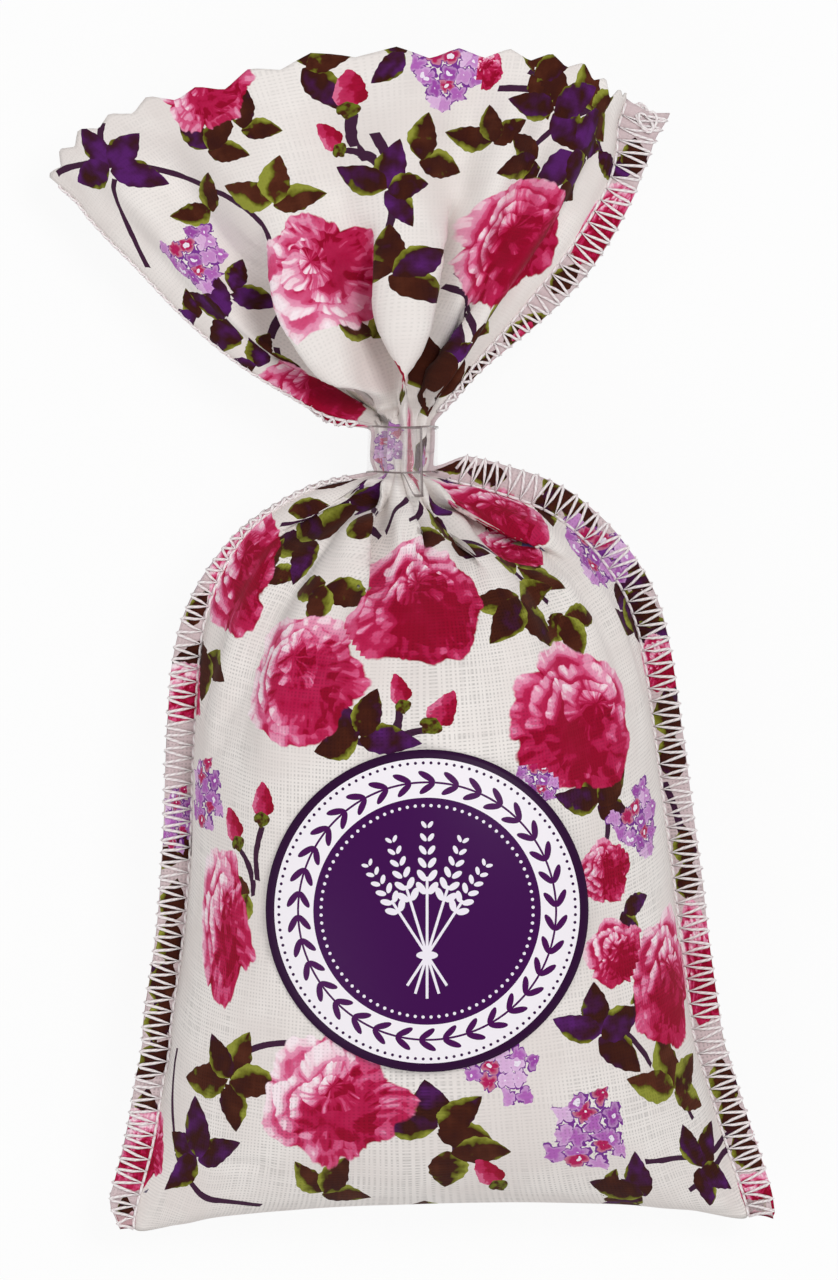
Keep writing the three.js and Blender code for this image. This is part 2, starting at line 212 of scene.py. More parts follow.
frillLines = {
    "left": [
        (-4.5, 26.7, 14.5), (-9.4, 28.1, 13.6), (-15.4, 31.4, 12.5), (-21.6, 35.4, 11.6),
        (-28.1, 41, 10.7), (-36.4, 49.6, 9.8), (-46.7, 58.7, 9)],
    "right": [
        (0.3, 26.9, 14.5), (4.8, 33.8, 15.4), (11.5, 41.8, 15.6), (17.7, 49.8, 15.2), (21.8, 56.8, 14.8),
        (24.2, 62.4, 14.5), (26.2, 68.4, 14.4)],
    "front": [
        (-2.1, 26.8, 16.9), (-3.6, 36.6, 18.8), (-5.2, 49, 20), (-6.6, 62, 20.4), (-8.2, 74.3, 20.4)],
    "back": [
        (-2.1, 26.8, 12.1), (-3.6, 36.6, 9.8), (-5.2, 49, 7.6), (-6.6, 62, 5.6), (-8.2, 74.3, 4)],
}
# valleys between the gathers: share of the way across the layer, depth, half width
gathers = {
    "bagFront": [
        (0.07, 0.5, 0.05), (0.2, 1.0, 0.06), (0.36, 0.6, 0.05), (0.47, 0.8, 0.04), (0.6, 0.6, 0.05),
        (0.74, 1.0, 0.06), (0.87, 0.7, 0.05), (0.96, 0.4, 0.04)],
    "bagBack": [
        (0.1, 0.7, 0.05), (0.24, 0.9, 0.06), (0.4, 0.6, 0.05), (0.53, 1.0, 0.05), (0.68, 0.7, 0.06),
        (0.82, 0.9, 0.05), (0.94, 0.5, 0.04)],
    "frillFront": [
        (0.06, 0.4, 0.05), (0.22, 1.0, 0.07), (0.46, 0.8, 0.05), (0.62, 1.0, 0.05), (0.76, 0.8, 0.05),
        (0.92, 0.5, 0.05)],
    "frillBack": [
        (0.1, 0.7, 0.06), (0.3, 1.0, 0.07), (0.5, 0.8, 0.06), (0.67, 1.0, 0.06), (0.86, 0.7, 0.06)],
    "deepestBag": 3.4,
    "deepestFrill": 4.2,
    "deepestBand": 1.9,
    "crest": 0.45,
    "bagFrom": 80.0,      # along the cloth: the gathers begin on the bag, and run out on the frill
    "frillTo": 130.0,
    "neckFrom": 99.0,     # and they are drawn tight between these two
    "neckTo": 118.0,
    "trials": 12,
}
neckSpot = {"x": -2.1, "z": 14.5, "low": 20.9, "high": 26.8, "radius": 2.8}


def sewnTube():
    # the strip folded, sewn and gathered by hand: one ring of points for each step along the cloth
    b = np.linspace(0, cut["top"], cut["rows"] + 1)
    inBag = b <= cut["bandLow"]
    inFrill = b >= cut["bandHigh"]
    inBand = ~inBag & ~inFrill
    shareBand = (b[inBand] - cut["bandLow"]) / (cut["bandHigh"] - cut["bandLow"])
    line = {}
    sides = {"left": (-1, 0), "right": (1, 0), "front": (0, 1), "back": (0, -1)}
    for side, (dx, dz) in sides.items():
        bagLine = curveThrough(bagLines[side])
        frillLine = curveThrough(frillLines[side])
        points = np.zeros((len(b), 3))
        bagShare = b[inBag] / cut["bandLow"]
        frillShare = (b[inFrill] - cut["bandHigh"]) / (cut["top"] - cut["bandHigh"])
        points[inBag] = atLengths(bagLine, bagShare * lengthsAlong(bagLine)[-1])
        points[inFrill] = atLengths(frillLine, frillShare * lengthsAlong(frillLine)[-1])
        points[inBand, 0] = neckSpot["x"] + dx * neckSpot["radius"]
        points[inBand, 1] = neckSpot["low"] + (neckSpot["high"] - neckSpot["low"]) * shareBand
        points[inBand, 2] = neckSpot["z"] + dz * neckSpot["radius"]
        line[side] = points

    columns = cut["columns"]
    step = np.arange(2 * columns)                      # front left to right, then back right to left
    isFront = step <= columns
    share = np.where(isFront, step, 2 * columns - step) / columns
    turn = math.pi * share
    wave = {}
    for part in ("bag", "frill"):
        wave[part] = np.zeros(2 * columns)
        for layer, mine in (("Front", isFront), ("Back", ~isFront)):
            for place, depth, half in gathers[part + layer]:
                wave[part] -= mine * depth * np.exp(-((share - place) / half) ** 2)
        wave[part] += gathers["crest"]
    tube = np.zeros((len(b), 2 * columns, 3))
    for i, along in enumerate(b):
        below = smoothStep(along, gathers["bagFrom"], cut["bandLow"])
        above = 1 - smoothStep(along, cut["bandHigh"], gathers["frillTo"])
        gathered = below if along < split else above
        power = cut["roundness"] + (1 - cut["roundness"]) * gathered
        across = (1 - np.sign(np.cos(turn)) * np.abs(np.cos(turn)) ** power) / 2
        height = np.sin(turn).clip(0) ** power
        left, right = line["left"][i], line["right"][i]
        middle = (left + right) / 2
        rise = np.where(isFront[:, None], line["front"][i] - middle, line["back"][i] - middle)
        ring = left + (right - left) * across[:, None] + rise * height[:, None]
        outward = unit(np.cross((0, 1, 0), np.roll(ring, -1, 0) - np.roll(ring, 1, 0)))
        outward *= np.sign((outward * (ring - ring.mean(0))).sum(1))[:, None]
        upward = smoothStep(along, cut["bandLow"], cut["bandHigh"])
        shape = wave["bag"] + (wave["frill"] - wave["bag"]) * upward
        deepest = gathers["deepestBag"] if along < split else gathers["deepestFrill"]
        inNeck = smoothStep(along, gathers["neckFrom"], cut["bandLow"])
        inNeck *= 1 - smoothStep(along, cut["bandHigh"], gathers["neckTo"])
        deepest += (gathers["deepestBand"] - deepest) * inNeck
        shallow, deep = 0.0, deepest          # the depth at which the ring is as long as the cloth is wide
        for _ in range(gathers["trials"]):
            trial = (shallow + deep) / 2
            pleated = ring + outward * (trial * shape)[:, None]
            girth = np.linalg.norm(np.roll(pleated, -1, 0) - pleated, axis=1).sum()
            shallow, deep = (trial, deep) if girth < 4 * cut["needle"] else (shallow, trial)
        tube[i] = ring + outward * (shallow * shape)[:, None]
    tube[:, :, 2] = tube[:, :, 2].clip(leastHeight["sewn"])
    return b, share, tube


relax = {
    "scale": 0.02,        # Blender units for a millimetre, so that the solver works on a large cloth
    "frames": 25,
    "quickFrames": 4,
    "solver": {
        "quality": 6, "mass": 0.3, "tension_stiffness": 30, "compression_stiffness": 20, "shear_stiffness": 5,
        "bending_stiffness": 0.3, "tension_damping": 10, "compression_damping": 10, "shear_damping": 10,
        "bending_damping": 1, "air_damping": 3, "pin_stiffness": 50, "use_pressure": True,
        "uniform_pressure_force": 2.5, "vertex_group_mass": "held", "vertex_group_pressure": "filled"},
    "apart": 0.004,       # least distance from the ground, Blender units
    "heldPast": 0.5,      # the band holds the cloth this far past its edges, mm
    "fillShort": 2.0,     # and the fill ends this far below it
    "ground": 5.0,
    "sag": 1.9,           # the fill's weight draws the bottom fold down by this much, mm
    "sagReach": 30.0,     # and the cloth gives over this length
    "sagFlatness": 6,
}


def relaxedCloth():
    # Blender's cloth solver settles the tube from its flat cut size, pushed out by the fill
    b, share, tube = sewnTube()
    columns = cut["columns"]
    rows = cut["rows"]
    ring = 2 * columns
    step = np.arange(ring)
    index = np.zeros((rows + 1, ring), int)
    index[0] = np.where(step <= columns, step, ring - step)
    index[1:] = columns + 1 + np.arange(rows * ring).reshape(rows, ring)
    count = columns + 1 + rows * ring
    points = np.zeros((count, 3))
    flat = np.zeros((count, 3))
    points[index.ravel()[::-1]] = tube.reshape(-1, 3)[::-1]
    across = cut["needle"] * (2 * share - 1)
    flat[index.ravel(), 0] = np.tile(across, rows + 1)
    flat[index.ravel(), 1] = np.repeat(b, ring)
    scale = relax["scale"]
    mesh = bpy.data.meshes.new("clothTrial")
    mesh.from_pydata((points * scale).tolist(), [], tubeFaces(index).tolist())
    trial = bpy.data.objects.new("clothTrial", mesh)
    bpy.context.scene.collection.objects.link(trial)
    trial.shape_key_add(name="sewn")
    flatKey = trial.shape_key_add(name="flat")
    flatKey.data.foreach_set("co", (flat * scale).astype(np.float32).ravel())
    flatKey.value = 0
    past = relax["heldPast"]
    inBand = (b > cut["bandLow"] - past) & (b < cut["bandHigh"] + past)
    held = np.unique(np.r_[index[:, 0], index[:, columns], index[inBand].ravel()])
    trial.vertex_groups.new(name="held").add(held.tolist(), 1.0, "REPLACE")
    filled = np.unique(index[b < cut["bandLow"] - relax["fillShort"]])
    trial.vertex_groups.new(name="filled").add(filled.tolist(), 1.0, "REPLACE")
    groundMesh = bpy.data.meshes.new("groundTrial")
    groundMesh.from_pydata(squareAt(relax["ground"], 0), [], [(0, 1, 2, 3)])
    ground = bpy.data.objects.new("groundTrial", groundMesh)
    bpy.context.scene.collection.objects.link(ground)
    ground.modifiers.new("stop", "COLLISION")

    cloth = trial.modifiers.new("cloth", "CLOTH")
    for name, value in relax["solver"].items():
        setattr(cloth.settings, name, value)
    cloth.settings.rest_shape_key = flatKey
    cloth.settings.effector_weights.gravity = 0
    cloth.collision_settings.use_collision = True
    cloth.collision_settings.distance_min = relax["apart"]
    scene = bpy.context.scene
    frames = relax["frames"]
    cloth.point_cache.frame_start = 1
    cloth.point_cache.frame_end = frames
    for number in range(1, frames + 1):
        scene.frame_set(number)
    settled = trial.evaluated_get(bpy.context.evaluated_depsgraph_get()).to_mesh()
    places = np.zeros(count * 3, np.float32)
    settled.vertices.foreach_get("co", places)
    places = places.reshape(-1, 3).astype(float) / scale
    bpy.data.objects.remove(trial)
    bpy.data.objects.remove(ground)
    scene.frame_set(1)
    front = places[index[:, :columns + 1]]
    back = places[np.concatenate([index[:, :1], index[:, :columns - 1:-1]], 1)]
    middle = 1 - np.linspace(-1, 1, columns + 1) ** relax["sagFlatness"]
    sag = relax["sag"] * np.outer(1 - smoothStep(b, 0, relax["sagReach"]), middle)
    for layer in (front, back):
        layer[:, :, 1] -= sag
        layer[:, :, 2] = layer[:, :, 2].clip(leastHeight["cloth"])
    return b, front, back


clothSteps, frontSheet, backSheet = relaxedCloth()
print("cloth settled, highest", round(float(frontSheet[:, :, 2].max()), 1), "mm")


# The seam allowances stand out past the needle lines, front and back layer together

seam = {
    "steps": 3,
    "layerGap": 0.33,      # each layer lies this far from the middle of the seam
    "wave": 0.35,          # the raw edge wavers by this much
    "waveLength": 17.0,
    "wavePhase": {"left": 0.4, "right": 2.1},
    "rootGap": 0.6,        # share of the layer gap at the needle line
    "crushed": 0.86,       # share of the allowance that is lost inside the band
    # where along the cloth it starts to be gathered in below the band, and is free again above it
    "taper": {"left": ((68, 95), (113, 128)), "right": ((103.2, 107.6), (115, 139))},
    "rise": 0.12,          # the allowance tips up a little from level
    # at the bottom corners a share of the allowance is tucked in, and it curls up, over these lengths
    "cornerRound": {"left": 0.5, "right": 0.1},
    "cornerLength": 4.0,
    "cornerCurl": {"left": 0.6, "right": 2.2},
    "curlLength": 8.0,
    "frillLeftTurn": 125,  # the left frill seam is turned to the back, degrees
    "frillTurnEnd": 122.0,
    # share that the allowance is pulled out by at the pinked edge, and where that starts
    "topFlare": {"left": 0.0, "right": 0.6},
    "flareFrom": 150.0,
}


def alongSmooth(values, reach=4):
    kernel = np.ones(2 * reach + 1) / (2 * reach + 1)
    padded = np.pad(values, ((reach, reach), (0, 0)), mode="edge")
    return np.stack([np.convolve(padded[:, k], kernel, "valid") for k in range(3)], 1)


def withAllowance(front, back, b):
    extra = np.arange(1, seam["steps"] + 1) / seam["steps"]
    opened = smoothStep(b, 0, seam["cornerLength"])
    sheets = {}
    for side, edge in (("left", 0), ("right", -1)):
        line = front[:, edge]
        along = unit(alongSmooth(np.gradient(line, axis=0)))
        level = np.cross(along, (0, 0, 1)) * (-1 if side == "left" else 1)
        out = unit(level + (0, 0, seam["rise"]))
        out = unit(out - along * (out * along).sum(1)[:, None])
        up = np.cross(out, along) * (1 if side == "right" else -1)
        if side == "left":
            turn = np.radians(seam["frillLeftTurn"]) * smoothStep(b, cut["bandHigh"], seam["frillTurnEnd"])
            out, up = (out * np.cos(turn)[:, None] - up * np.sin(turn)[:, None],
                       up * np.cos(turn)[:, None] + out * np.sin(turn)[:, None])
        leaving, coming = seam["taper"][side]
        crush = 1 - seam["crushed"] * smoothStep(b, *leaving) * (1 - smoothStep(b, *coming))
        crush *= 1 - seam["cornerRound"][side] * (1 - opened)
        crush *= 1 + seam["topFlare"][side] * smoothStep(b, seam["flareFrom"], cut["top"])
        curl = seam["cornerCurl"][side] * (1 - smoothStep(b, 0, seam["curlLength"]))
        sway = seam["wave"] * np.sin(2 * math.pi * b / seam["waveLength"] + seam["wavePhase"][side])
        for sheet, lift in (("front", 1), ("back", -1)):
            layer = []
            for share in extra:
                width = cut["allowance"] * share * crush
                rise = lift * seam["layerGap"] * opened * min(1.0, seam["rootGap"] + share)
                rise += (sway * crush + curl) * share ** 2
                layer.append(line + out * width[:, None] + up * rise[:, None])
            first = line + up * (lift * seam["layerGap"] * seam["rootGap"] * opened)[:, None]
            sheets[side, sheet] = np.stack([first] + layer, 1)
    done = []
    for sheet, grid in (("front", front), ("back", back)):
        left = sheets["left", sheet][:, ::-1]
        right = sheets["right", sheet]
        whole = np.concatenate([left, grid[:, 1:-1], right], 1)
        whole[:, :, 2] = whole[:, :, 2].clip(leastHeight["cloth"])
        done.append(whole)
    return done


frontSheet, backSheet = withAllowance(frontSheet, backSheet, clothSteps)
widths = np.linspace(-cut["needle"], cut["needle"], cut["columns"] + 1)
outer = cut["needle"] + cut["allowance"] * np.arange(1, seam["steps"] + 1) / seam["steps"]
widths = np.concatenate([-outer[::-1], widths, outer])
flatGrid = np.stack(np.broadcast_arrays(widths[None, :], clothSteps[:, None]), -1)
frontSheet, backSheet, flatGrid = refined(frontSheet), refined(backSheet), refined(flatGrid)
seamColumn = 2 * seam["steps"]


# Sharp folds where one gather lies over the next

creases = [
    # the line of the fold as it shows on the front (x, y in mm, from the neck), the part it is in, its depth,
    # how far its low side reaches, the width of cloth that laps, and which side lies on top: 1 left, -1 right
    {"line": [(-1.6, 27.8), (-6, 30.6), (-10.8, 34.2), (-14.2, 38.6), (-17, 43.2), (-19, 48), (-20, 54)],
     "part": "frill", "depth": 5.2, "reach": 8.0, "lap": 2.2, "over": -1},
    {"line": [(-1.6, 27.6), (-2.4, 32), (-3.6, 36.6), (-4.8, 42), (-5.6, 48), (-6, 54)],
     "part": "frill", "depth": 4.2, "reach": 4.6, "lap": 1.7, "over": -1},
    {"line": [(-1.5, 27.6), (-0.7, 33), (0.1, 38), (1.4, 44), (3.4, 52), (4.4, 57)],
     "part": "frill", "depth": 4.4, "reach": 5.0, "lap": 1.8, "over": 1},
    {"line": [(-0.4, 28), (2.4, 33.4), (5, 38.6), (7.6, 43.6)],
     "part": "frill", "depth": 1.8, "reach": 3.0, "lap": 0.8, "over": -1},
    {"line": [(0.6, 20.4), (3.8, 17.7), (10.6, 14.1), (17.2, 11.3), (21, 9)],
     "part": "bag", "depth": 3.4, "reach": 4.0, "lap": 1.2, "over": 1},
    {"line": [(1.2, 20.8), (8, 19), (15, 16.6), (22, 13)],
     "part": "bag", "depth": 2.0, "reach": 2.6, "lap": 0.9, "over": 1},
    {"line": [(-4.4, 20.6), (-9.4, 18.2), (-15.6, 15), (-20, 11.4)],
     "part": "bag", "depth": 3.0, "reach": 4.0, "lap": 1.1, "over": -1},
    {"line": [(-3.4, 20.4), (-5.6, 17.2), (-6.5, 12.6), (-6.5, 6.4), (-6.2, 3)],
     "part": "bag", "depth": 2.6, "reach": 5.0, "lap": 1.0, "over": -1},
    {"line": [(-1.8, 20.4), (-1.4, 16.8), (0.2, 12.4), (1.2, 8.6)],
     "part": "bag", "depth": 1.8, "reach": 2.6, "lap": 0.8, "over": -1},
    {"line": [(-0.4, 20.4), (3, 16.2), (6.4, 11.6), (9.4, 6.6)],
     "part": "bag", "depth": 1.8, "reach": 3.2, "lap": 0.8, "over": 1},
]
fold = {
    "lap": 3.0,                    # how strongly the cloth doubles back in a lap
    "lapTurn": 0.53,               # where it turns back, as a share of the lap
    "ridge": 0.36,                 # the upper gather stands up by this share of the depth
    "ridgeAt": 2.0,
    "ridgeWidth": 0.4,
    "soften": 9,
    "upward": 0.6,
    # along the cloth the folds run out before the band, and across it before the seams
    "clear": {"bag": (105.5, 100.0), "frill": (111.8, 114.6)},
    "seamClear": 6.0,
    "fadeIn": 0.12,                # along each line of fold, as a share of its length
    "fadeOut": 0.55,
    "lapIn": (0.08, 0.34),
}
layersApart = 1.2      # the front layer stays this far over the back one, mm


def softened(grid, reach):
    for axis in (0, 1):
        wide = np.pad(grid, [(reach, reach) if k == axis else (0, 0) for k in range(3)], mode="edge")
        summed = np.cumsum(np.insert(wide, 0, 0, axis), axis)
        count = grid.shape[axis]
        span = 2 * reach + 1
        grid = (summed.take(range(span, span + count), axis) - summed.take(range(count), axis)) / span
    return grid


def creased(sheet, flat):
    # the low side of each line sinks, and the gather on the other side laps over it
    outward = unit(gridNormals(softened(sheet, fold["soften"])) + (0, 0, fold["upward"]))
    along = flat[:, :, 1]
    clear = {part: smoothStep(along, *span) for part, span in fold["clear"].items()}
    free = smoothStep(cut["needle"] - np.abs(flat[:, :, 0]), 0, fold["seamClear"])
    lift = np.zeros(along.shape)
    slide = np.zeros(along.shape + (2,))
    for crease in creases:
        line = curveThrough(crease["line"], perSpan=10)
        steps = sheet[:, :, None, :2] - line
        nearest = (steps ** 2).sum(-1).argmin(-1)
        heading = unit(np.gradient(line, axis=0))[nearest]
        upper = np.stack([-heading[..., 1], heading[..., 0]], -1) * crease["over"]
        gap = np.take_along_axis(steps, nearest[:, :, None, None], 2)[:, :, 0]
        off = np.linalg.norm(gap, axis=-1) * np.sign((gap * upper).sum(-1))
        share = nearest / (len(line) - 1)
        fade = smoothStep(share, 0, fold["fadeIn"]) * (1 - smoothStep(share, fold["fadeOut"], 1))
        fade *= clear[crease["part"]] * free
        turn = fold["lapTurn"] * crease["lap"]
        top = smoothStep(off, -turn, turn)
        low = smoothStep(-off - turn, 0, crease["reach"])
        ridgeWidth = fold["ridgeWidth"] * crease["reach"]
        ridge = fold["ridge"] * np.exp(-((off - fold["ridgeAt"]) / ridgeWidth) ** 2)
        lift += crease["depth"] * fade * (top * ridge - (1 - top) * (1 - low))
        lapped = fold["lap"] * fade * smoothStep(share, *fold["lapIn"])
        slide -= upper * (lapped * off * np.exp(-(off / crease["lap"]) ** 2))[:, :, None]
    folded = sheet + outward * lift[:, :, None]
    folded[:, :, :2] += slide
    return folded


frontSheet = creased(frontSheet, flatGrid)
inside = np.abs(flatGrid[:, :, 0]) < cut["needle"]
tooClose = np.where(inside, backSheet[:, :, 2] + layersApart - frontSheet[:, :, 2], 0).clip(0)
backSheet[:, :, 2] = (backSheet[:, :, 2] - tooClose).clip(leastHeight["cloth"])


# The pinked top edge

pinking = {
    "pitch": 5.2,
    "depth": 1.3,
    "reach": 6.0,
    # the shears strayed from the straight: distance across the strip, and how much more came off
    "slant": [(-27, 0), (-22.5, 0.5), (-18, 0.4), (-14.3, 1.1), (-11, 1.4), (-7, 0.5), (-1, 0), (6, 1.6),
              (22, 2.1), (28, 2.7), (32, 3.2), (35, 1.6), (38, 0.2)],
}


def pinked(grid, flat):
    across = flat[0, :, 0]
    along = flat[:, 0, 1]
    tooth = np.abs(((across / pinking["pitch"]) % 1) * 2 - 1) * pinking["depth"]
    tooth += np.interp(across, *zip(*pinking["slant"]))
    rows = along > cut["top"] - pinking["reach"]
    share = (along[rows] - (cut["top"] - pinking["reach"])) / pinking["reach"]
    trimmed = grid.copy()
    trimmedFlat = flat.copy()
    for k in range(len(across)):
        places = along[rows] - tooth[k] * share
        for axis in range(3):
            trimmed[rows, k, axis] = np.interp(places, along, grid[:, k, axis])
        trimmedFlat[rows, k, 1] = places
    return trimmed, trimmedFlat


frontSheet, flatFront = pinked(frontSheet, flatGrid)
backSheet, _ = pinked(backSheet, flatGrid)
flatBack = flatFront * (1, -1)


# The print: a rose chintz. Each motif has its place as it shows on the front (x, y in mm)

